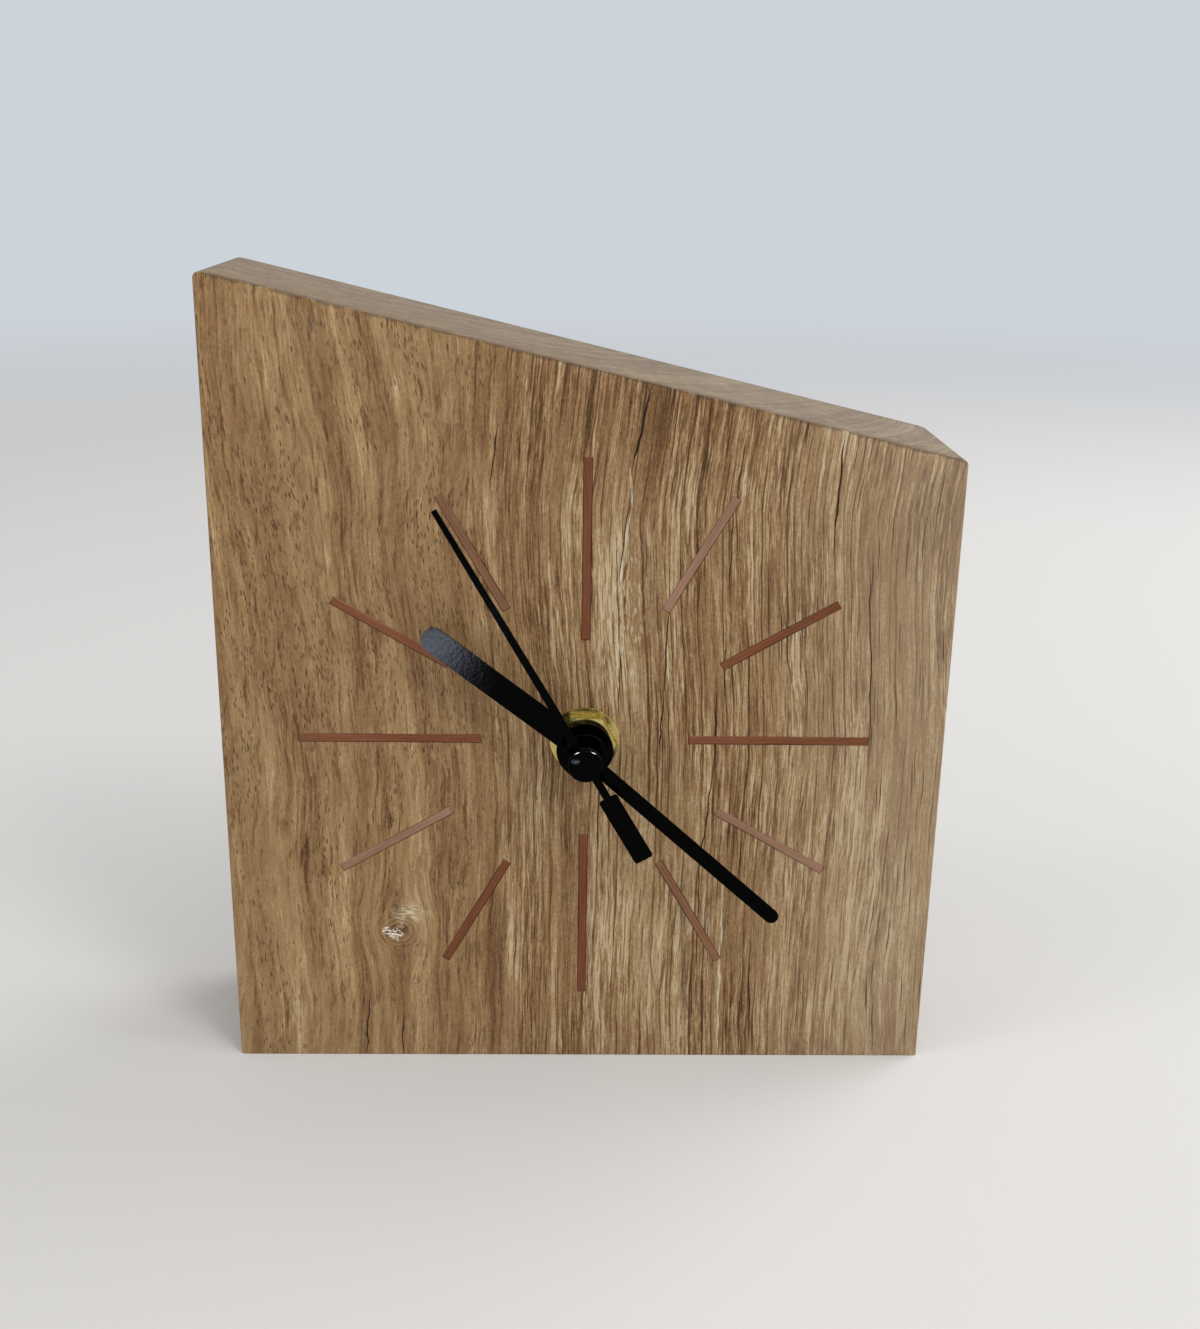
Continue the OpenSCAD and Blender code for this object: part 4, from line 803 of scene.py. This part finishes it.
class CLOCK_OT_oak_block(Step, bpy.types.Operator):
    """Makes the oak block, with its outer edges sanded a little round"""
    bl_idname = "clock.oak_block"
    bl_label = "Oak Block"

    def execute(self, context):
        block = merged("oak_block")
        bevel_edges(block, self.outer_edge, context.scene.clock_sizes.block_edge, 3)
        with editing(block):
            # The rounding of the top left corner would stand a hair above the block
            choose(lambda v: v.co.z > BLOCK_HIGH.z, "verts")
            bpy.ops.transform.resize(value=(1, 1, 0), center_override=(0, 0, BLOCK_HIGH.z))
        dissolve_slivers(block)
        cut_wide_faces(smooth(block))
        block.data.materials.append(oiled_oak(context.scene.clock_colours))
        fit_piece(block, "block_sanded", "oak_block")
        return {"FINISHED"}

    def outer_edge(self, edge):
        """A sharp edge on the outside of the block, and none of its recess, its hole or the bars' slots."""
        if len(edge.link_faces) != 2 or edge.calc_face_angle() < math.radians(35):
            return False
        one, other = (face.normal for face in edge.link_faces)
        middle = (edge.verts[0].co + edge.verts[1].co) / 2
        slope = (BLOCK_TOP_RIGHT - BLOCK_HIGH.z) / (BLOCK_HIGH.x - BLOCK_LOW.x)
        top = BLOCK_HIGH.z + slope * (middle.x - BLOCK_LOW.x)
        on_rim = (middle.z > top - 0.001 or middle.z < 0.001 or abs(middle.x) > BLOCK_HIGH.x - 0.004)
        return on_rim and one.dot(other) > -0.5


class CLOCK_OT_hour_bars(Step, bpy.types.Operator):
    """Makes the twelve copper bars with softly worn edges"""
    bl_idname = "clock.hour_bars"
    bl_label = "Hour Bars"

    def execute(self, context):
        sizes, colours = context.scene.clock_sizes, context.scene.clock_colours
        brown = brushed_copper("browned_copper", colours.copper_brown_dark, colours.copper_brown)
        dulled = brushed_copper("dulled_copper", colours.copper_dull_dark, colours.copper_dull)
        rubbed = brushed_copper("rubbed_copper", colours.copper_pink_dark, colours.copper_pink)
        finish = {1: rubbed, 4: rubbed, 8: rubbed, 5: dulled, 11: dulled}
        low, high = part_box("hour_bar_12")
        depth, half = (high.y - low.y) / MM, (high.x - low.x) / MM / 2
        outer, long_inner = (high.z - DIAL_Z) / MM, (low.z - DIAL_Z) / MM
        turn = math.radians(30)
        short_inner = ((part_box("hour_bar_01")[0].z - DIAL_Z) / MM + half * math.sin(turn)) / math.cos(turn)
        long_bar = self.bar(sizes, half, long_inner, outer, depth)
        short_bar = self.bar(sizes, half, short_inner, outer, depth)
        for hour in range(1, 13):
            take(short_bar if hour % 3 else long_bar)
            bpy.ops.object.duplicate(linked=False)
            bar = lay_on_dial(bpy.context.object, 30 * hour)
            bar.data.materials.append(finish.get(hour, brown))
            fit_piece(bar, f"copper_bar_{hour:02d}", f"hour_bar_{hour:02d}")
        for pattern in (long_bar, short_bar):
            bpy.data.objects.remove(pattern)
        return {"FINISHED"}

    def bar(self, sizes, half, inner, outer, depth):
        bar = ease_edges(box_shape((-half, inner, -depth), (half, outer, 0)), sizes.bar_edge / MM, 3)
        # The brushing runs along the bar, so its map holds millimetres across and along it
        bar.data.uv_layers.new(name="brushing")
        layer = bar.data.uv_layers["brushing"]
        layer.active = layer.active_render = True
        for loop in bar.data.loops:
            place_mm = bar.data.vertices[loop.vertex_index].co / MM
            layer.data[loop.index].uv = (place_mm.x + place_mm.z, place_mm.y)
        return bar


class CLOCK_OT_fixing(Step, bpy.types.Operator):
    """Makes the brass washer and nut, the threaded bush that they grip and the gasket behind the wood"""
    bl_idname = "clock.fixing"
    bl_label = "Fixing"

    def execute(self, context):
        self.washer(context.scene.clock_sizes)
        self.nut(context.scene.clock_sizes)
        self.bush(context.scene.clock_sizes)
        fit_softened("gasket", 0.15)
        return {"FINISHED"}

    def washer(self, sizes):
        bottom, top, outer = heights("washer")
        bore = 4.05
        ring = turned([(bore, bottom), (outer, bottom), (outer, top), (bore, top), (bore, bottom)], 96)
        ease_edges(ring, sizes.brass_edge / MM)
        fit_piece(lay_on_dial(ring), "brass_washer", "washer")

    def nut(self, sizes):
        bottom, top, _ = heights("hex_nut")
        flat = 6  # Half its width across the flats
        corner = flat / math.cos(math.radians(30))
        nut = take(rod_shape(corner, bottom, top, sides=6))
        nut.rotation_euler.z = math.radians(90)
        bpy.ops.object.transform_apply()
        bevel_edges(nut, upright, sizes.brass_edge * 1.5, 3)
        edge = sizes.brass_edge / MM
        cone = turned([(0, bottom), (flat - edge, bottom), (flat, bottom + edge * 0.3),
                       (corner + 1, bottom + 1), (corner + 1, top - 0.6), (corner, top - 0.4),
                       (flat + edge, top - 0.09), (flat, top - 0.04), (flat - edge, top - 0.01),
                       (flat - 2 * edge, top), (0, top)], 72)
        combine(nut, cone, "INTERSECT")
        bore = turned([(0, bottom - 1), (4, bottom - 1), (4, top - 0.25), (4.3, top + 0.05),
                       (4.3, top + 1), (0, top + 1)], 72)
        combine(nut, bore, "DIFFERENCE")
        dissolve_slivers(nut)
        cut_wide_faces(smooth(nut, 25))
        fit_piece(lay_on_dial(nut, 2), "brass_nut", "hex_nut")

    def bush(self, sizes):
        """The thread's turns are closed rings, which look the same as a screw thread of this pitch."""
        back, tip, flange = heights("threaded_bush")
        shoulder = back + 0.75
        crest, bore = 3.95, 2.65  # Radii
        pitch = sizes.thread_pitch / MM
        root = crest - 0.55 * pitch
        profile = [(bore, back), (flange, back), (flange, shoulder), (root, shoulder)]
        height = shoulder + 1.5
        while height < tip - 0.5 * pitch:
            profile += [(root, height), (crest, height + 0.45 * pitch), (crest, height + 0.55 * pitch)]
            height += pitch
        profile += [(root, height), (root, tip - 0.1), (root - 0.1, tip), (bore + 0.2, tip),
                    (bore, tip - 0.2), (bore, back)]
        bush = smooth(turned(profile, 64), 25)
        fit_piece(lay_on_dial(bush), "threaded_bush_turned", "threaded_bush")


class CLOCK_OT_hands(Step, bpy.types.Operator):
    """Makes the hour and minute hands, stamped, painted and riveted on their collets"""
    bl_idname = "clock.hands"
    bl_label = "Hour and Minute Hands"

    def execute(self, context):
        sizes = context.scene.clock_sizes
        # Reach, width, and diameters of the eye and the hole, in millimetres, and degrees from 12 o'clock
        self.plain_hand(sizes, "hour_hand", 43.5, 5.5, 12.4, 5.8, 307.5)
        self.plain_hand(sizes, "minute_hand", 58, 3.2, 10.3, 4.2, 132)
        fit_softened("hour_collet minute_collet", 0.12)
        return {"FINISHED"}

    def plain_hand(self, sizes, node, reach, width, eye, hole, turn):
        bottom, top, _ = heights(node)
        hand = box_shape((-width / 2, 0, bottom), (width / 2, reach, top))
        at_tip = (reach - 0.001) * MM
        bevel_edges(hand, lambda e: upright(e) and e.verts[0].co.y > at_tip, width / 2 * MM * 0.999, 14)
        combine(hand, rod_shape(eye / 2, bottom, top, sides=96), "UNION")
        combine(hand, rod_shape(hole / 2, bottom - 1, top + 1), "DIFFERENCE")
        ease_edges(hand, sizes.hand_edge / MM, 3, 40)
        fit_piece(lay_on_dial(hand, turn), node + "_painted", node)


class CLOCK_OT_second_hand(Step, bpy.types.Operator):
    """Makes the second hand with its counterweight, its tube and its turned cap"""
    bl_idname = "clock.second_hand"
    bl_label = "Second Hand"

    def execute(self, context):
        sizes = context.scene.clock_sizes
        bottom, top, _ = heights("second_hand")
        # Half widths, and where each part ends along the hand, in millimetres
        root, tip, neck, broad, eye, hole = 0.95, 0.6, 0.85, 2.15, 3.1, 1.2
        reach, neck_end, weight_from, weight_to = 62.7, -18, -26.4, -9.7
        hand = box_shape((-root, 0, bottom), (root, reach, top))
        with editing(hand):
            choose(lambda v: v.co.y > reach / 2 * MM, "verts")
            bpy.ops.transform.resize(value=(tip / root, 1, 1), center_override=(0, 0, 0))
        weight = box_shape((-broad, weight_from, bottom), (broad, weight_to, top))
        bevel_edges(weight, upright, 0.4 * MM, 1)
        combine(hand, box_shape((-neck, neck_end, bottom), (neck, 0, top)), "UNION")
        combine(hand, weight, "UNION")
        combine(hand, rod_shape(eye, bottom, top), "UNION")
        combine(hand, rod_shape(hole, bottom - 1, top + 1), "DIFFERENCE")
        ease_edges(hand, sizes.hand_edge / MM * 0.8, 2, 40)
        fit_piece(lay_on_dial(hand, 330), "second_hand_painted", "second_hand")
        self.cap()
        fit_softened("second_tube", 0.1)
        return {"FINISHED"}

    def cap(self):
        bottom, top, radius = heights("second_cap")
        edge = 0.5
        flat = radius - edge
        dome = 0.3
        rim = top - dome - edge
        profile = [(0, bottom), (radius - 0.15, bottom), (radius, bottom + 0.15)]
        for step in range(7):
            angle = math.radians(15 * step)
            profile.append((flat + edge * math.cos(angle), rim + edge * math.sin(angle)))
        for step in range(1, 9):
            share = 1 - step / 8
            profile.append((flat * share, top - dome * share ** 2))
        cap = turned(profile, 96)
        fit_piece(lay_on_dial(smooth(cap)), "second_cap_turned", "second_cap")


class CLOCK_OT_case(Step, bpy.types.Operator):
    """Makes the movement's case in its two mouldings"""
    bl_idname = "clock.case"
    bl_label = "Movement Case"

    def execute(self, context):
        fit_softened("front_case rear_cover", context.scene.clock_sizes.case_edge / MM)
        return {"FINISHED"}


class CLOCK_OT_setting_knob(Step, bpy.types.Operator):
    """Makes the setting knob with its finger grooves, its rim and its stem"""
    bl_idname = "clock.setting_knob"
    bl_label = "Setting Knob"

    def execute(self, context):
        sizes = context.scene.clock_sizes
        low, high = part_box("setting_knob")
        radius = (high.x - low.x) / MM / 2
        back = (high.y - CASE_Y) / MM
        thickness, tip, stem, groove = 3.6, 0.35, 1, 0.7
        front = back - thickness
        start = (low.y - CASE_Y) / MM
        count = sizes.knob_grooves
        knob = turned([(0, start), (tip, start), (tip, start + 0.8), (stem, start + 0.8), (stem, front),
                       (radius, front), (radius, back), (radius - 2.2, back), (radius - 2.5, back - 0.6),
                       (0, back - 0.6)], 5 * count)
        cutter = rod_shape(groove, front - 1, back + 1, radius + 0.233, 24)
        combine(knob, ring_of(cutter, count), "DIFFERENCE")
        ease_edges(knob, sizes.case_edge / MM * 0.6, 2)
        fit_piece(stand_behind(knob, "setting_knob"), "setting_knob_moulded", "setting_knob")
        return {"FINISHED"}


class CLOCK_OT_train(Step, bpy.types.Operator):
    """Makes the plates, wheels, pinions, arbors and screws of the train"""
    bl_idname = "clock.train"
    bl_label = "Train"

    def execute(self, context):
        wheel_edge = context.scene.clock_sizes.wheel_edge / MM
        fit_softened("middle_plate train_bridge", 0.15)
        fit_softened("motion_wheel hour_wheel centre_wheel third_wheel intermediate_wheel rotor_pinion",
                     wheel_edge, 1)
        fit_softened("minute_arbor second_arbor", wheel_edge, 1)
        fit_softened("plate_screws coil_screws", 0.1)
        return {"FINISHED"}


class CLOCK_OT_motor(Step, bpy.types.Operator):
    """Makes the stepping motor: magnet, stator, core, bobbin and the coil, wound turn by turn"""
    bl_idname = "clock.motor"
    bl_label = "Motor"

    def execute(self, context):
        sizes = context.scene.clock_sizes
        fit_softened("rotor_magnet stator coil_core", 0.08)
        fit_softened("coil_bobbin", 0.12)
        radius, span = lengthwise("coil_winding")
        bore = 2.1
        turns = int(span / (sizes.wire / MM))
        pitch = span / turns
        profile = [(bore, 0)]
        for turn in range(turns):
            # The outer layer is never quite level
            crest = radius - 0.12 * (0.5 + 0.5 * math.sin(1.7 * turn))
            profile += [(crest - 0.1, turn * pitch), (crest, (turn + 0.5) * pitch)]
        profile += [(radius - 0.2, span), (bore, span), (bore, 0)]
        winding = smooth(turned(profile, 48), 60)
        fit_piece(lay_along_x(winding, "coil_winding"), "coil_wound", "coil_winding")
        return {"FINISHED"}


class CLOCK_OT_board(Step, bpy.types.Operator):
    """Makes the circuit board, the drop of resin on the chip and the watch crystal"""
    bl_idname = "clock.board"
    bl_label = "Circuit Board"

    def execute(self, context):
        fit_softened("circuit_board", 0.05, 1)
        low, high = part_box("chip")
        radius = (high.x - low.x) / MM / 2
        rise = (high.y - low.y) / MM
        base = (low.y - CASE_Y) / MM
        profile = [(0, base), (radius * 0.98, base), (radius, base + 0.1)]
        for step in range(1, 9):
            angle = math.radians(90 * step / 8)
            profile.append((radius * math.cos(angle), base + 0.1 + (rise - 0.1) * math.sin(angle) ** 1.2))
        chip = smooth(turned(profile, 48), 50)
        fit_piece(stand_behind(chip, "chip"), "chip_resin", "chip")
        radius, span = lengthwise("crystal")
        can = turned([(0, 0), (radius * 0.8, 0), (radius, 0.25), (radius, span - 0.5),
                      (radius * 0.92, span - 0.45), (radius * 0.92, span - 0.3), (radius, span - 0.25),
                      (radius, span - 0.08), (radius - 0.08, span), (0, span)], 48)
        fit_piece(lay_along_x(smooth(can), "crystal"), "crystal_can", "crystal")
        return {"FINISHED"}


class CLOCK_OT_battery(Step, bpy.types.Operator):
    """Makes the battery with its crimped ends, its shrunk sleeve and the sprung contacts"""
    bl_idname = "clock.battery"
    bl_label = "Battery"

    def execute(self, context):
        radius, span = lengthwise("battery_can")
        end = span - 1.2
        crimp = ((1.3, 0), (0.9, 0.03), (0.35, 0.3), (0.1, 0.65), (0, 1.1))
        can = turned([(0, 0.25), (3, 0.25), (3.4, 0.05), *((radius - inset, rise) for inset, rise in crimp),
                      *((radius - inset, end - rise) for inset, rise in reversed(crimp)),
                      (radius - 1.7, end - 0.3), (3.3, end - 0.3), (2.95, end - 0.1), (2.75, end + 0.15),
                      (2.75, span - 0.25), (2.55, span - 0.03), (2.4, span), (0, span)], 96)
        fit_piece(lay_along_x(smooth(can), "battery_can"), "battery_crimped", "battery_can")
        outer, span = lengthwise("battery_sleeve")
        wall = outer - radius
        sleeve = turned([(radius, 0.1), (radius + wall * 0.6, 0), (outer, 0.3), (outer, span - 0.3),
                         (radius + wall * 0.6, span), (radius, span - 0.1), (radius, 0.1)], 96)
        fit_piece(lay_along_x(smooth(sleeve), "battery_sleeve"), "battery_sleeve_shrunk", "battery_sleeve")
        fit_softened("positive_contact negative_contact", 0.08)
        return {"FINISHED"}


BACKDROP = "#CDD3DA"


class CLOCK_OT_stage(Step, bpy.types.Operator):
    """Sets up the pale floor, the soft studio light and the camera"""
    bl_idname = "clock.stage"
    bl_label = "Stage"

    def execute(self, context):
        scene = context.scene
        scene.view_settings.view_transform = "Standard"
        clear_selection()
        bpy.ops.mesh.primitive_plane_add(size=12, location=(0, 0, 0))
        floor = bpy.context.object
        floor.name = "floor"
        material, put = new_material("pale_floor")
        place = put("TexCoord").outputs["Object"]
        cloud = put("TexNoise", place, 2)
        colour = put("Mix", cloud, "#BDBBB8", "#C4C2BF")
        near = put("BsdfPrincipled", Base_Color=colour, Roughness=0.85, Specular_IOR_Level=0.2)
        far = put("Emission", BACKDROP, 1)
        away = put("MapRange", put("VectorMath", place, operation="LENGTH"), 0.5, 1.8,
                   interpolation_type="SMOOTHSTEP")
        away = put("*", away, self.seen(put))
        put("OutputMaterial", put("MixShader", away, near, far))
        floor.data.materials.append(material)
        for name, place, size, watts in (("key", (0.7, -0.9, 1.3), 0.5, 7),
                                         ("window", (0.9, 0.5, 0.9), 0.9, 9),
                                         ("fill", (-1.1, -0.6, 0.8), 1.2, 5),
                                         ("glint left", (-0.5, -0.25, 0.75), 0.1, 0.5),
                                         ("glint right", (0.55, -0.2, 0.6), 0.1, 0.5)):
            self.lamp(name, place, watts, shape="DISK", size=size)
        self.lamp("sky", (0.5, -0.6, 1.5), 1.1, (0.15, -0.05, 0.5), kind="SUN", angle=math.radians(60))
        # A weak cool light that lies in front of the clock, for the sheen on the end of the hour hand
        card = self.lamp("card", (-0.068, -0.35, 0.002), 0.6, shape="RECTANGLE", size=0.04, size_y=0.08,
                         color=linear("#DCE4F6")[:3])
        card.rotation_euler = (math.pi, 0, 0)
        self.for_paint(card)
        # Cool strips overhead, for the fine bright lines along the painted edges and round the cap
        for side, x in (("left", -0.52), ("right", 0.52)):
            self.for_paint(self.lamp("strip " + side, (x, -0.42, 0.65), 320, shape="RECTANGLE", size=0.4,
                                     size_y=0.2, color=linear("#D6E2FA")[:3]))
        self.world()
        # Fitted to the photo from the corners of the block and the ends of the bars
        camera = bpy.data.cameras.new("camera")
        camera.sensor_fit = "VERTICAL"
        camera.sensor_height = 36
        camera.lens = 42.604
        holder = bpy.data.objects.new("camera", camera)
        scene.collection.objects.link(holder)
        holder.location = Vector((-4.85, -345.92, 205.06)) * MM
        holder.rotation_euler = [math.radians(a) for a in (71.684, -0.8826, -1.1159)]
        scene.camera = holder
        return {"FINISHED"}

    def lamp(self, name, place, watts, aim=(0, 0, 0.09), kind="AREA", **settings):
        """Adds a lamp that faces a point, which is the middle of the clock if nothing else is given."""
        clear_selection()
        bpy.ops.object.light_add(type=kind, location=place)
        lamp = bpy.context.object
        lamp.name = name
        lamp.data.energy = watts
        for key, value in settings.items():
            setattr(lamp.data, key, value)
        lamp.rotation_euler = (Vector(aim) - Vector(place)).to_track_quat("-Z", "Y").to_euler()
        return lamp

    def for_paint(self, lamp):
        """Lets a lamp show in the black paint alone, as a reflection."""
        lamp.light_linking.receiver_collection = painted_pieces()
        lamp.visible_diffuse = False

    def world(self):
        world = bpy.data.worlds.new("studio")
        bpy.context.scene.world = world
        world.use_nodes = True
        world.node_tree.nodes.clear()
        put = functools.partial(add, world.node_tree)
        soft = put("Background", "#E8EAEE", 0.6)
        backdrop = put("Background", BACKDROP, 1)
        put("OutputWorld", put("MixShader", self.seen(put), soft, backdrop))

    def seen(self, put):
        """One where the camera or a reflection sees the backdrop, so that it throws no light of its own."""
        path = put("LightPath").outputs
        seen = put("MAXIMUM", path["Is Camera Ray"], path["Is Glossy Ray"])
        return put("MAXIMUM", seen, path["Is Transmission Ray"])


class CLOCK_PT_panel(bpy.types.Panel):
    """Lists the steps that make the clock"""
    bl_idname = "CLOCK_PT_panel"
    bl_label = "Oak Desk Clock"
    bl_space_type = "VIEW_3D"
    bl_region_type = "UI"
    bl_category = "Clock"

    def draw(self, context):
        layout = self.layout
        for group in (context.scene.clock_sizes, context.scene.clock_colours):
            box = layout.box()
            for name in group.__annotations__:
                box.prop(group, name)
        for step in STEPS:
            layout.operator(step.bl_idname)


STEPS = (CLOCK_OT_stage, CLOCK_OT_oak_block, CLOCK_OT_hour_bars, CLOCK_OT_fixing, CLOCK_OT_hands,
         CLOCK_OT_second_hand, CLOCK_OT_case, CLOCK_OT_setting_knob, CLOCK_OT_train, CLOCK_OT_motor,
         CLOCK_OT_board, CLOCK_OT_battery)
CLASSES = (ClockSizes, ClockColours) + STEPS + (CLOCK_PT_panel,)


def register():
    for cls in CLASSES:
        bpy.utils.register_class(cls)
    bpy.types.Scene.clock_sizes = PointerProperty(type=ClockSizes)
    bpy.types.Scene.clock_colours = PointerProperty(type=ClockColours)


def unregister():
    del bpy.types.Scene.clock_colours
    del bpy.types.Scene.clock_sizes
    for cls in reversed(CLASSES):
        bpy.utils.unregister_class(cls)


def main():
    register()
    bpy.ops.clock.stage()
    bpy.ops.clock.oak_block()
    bpy.ops.clock.hour_bars()
    bpy.ops.clock.fixing()
    bpy.ops.clock.hands()
    bpy.ops.clock.second_hand()
    bpy.ops.clock.case()
    bpy.ops.clock.setting_knob()
    bpy.ops.clock.train()
    bpy.ops.clock.motor()
    bpy.ops.clock.board()
    bpy.ops.clock.battery()


if __name__ == "__main__":
    main()
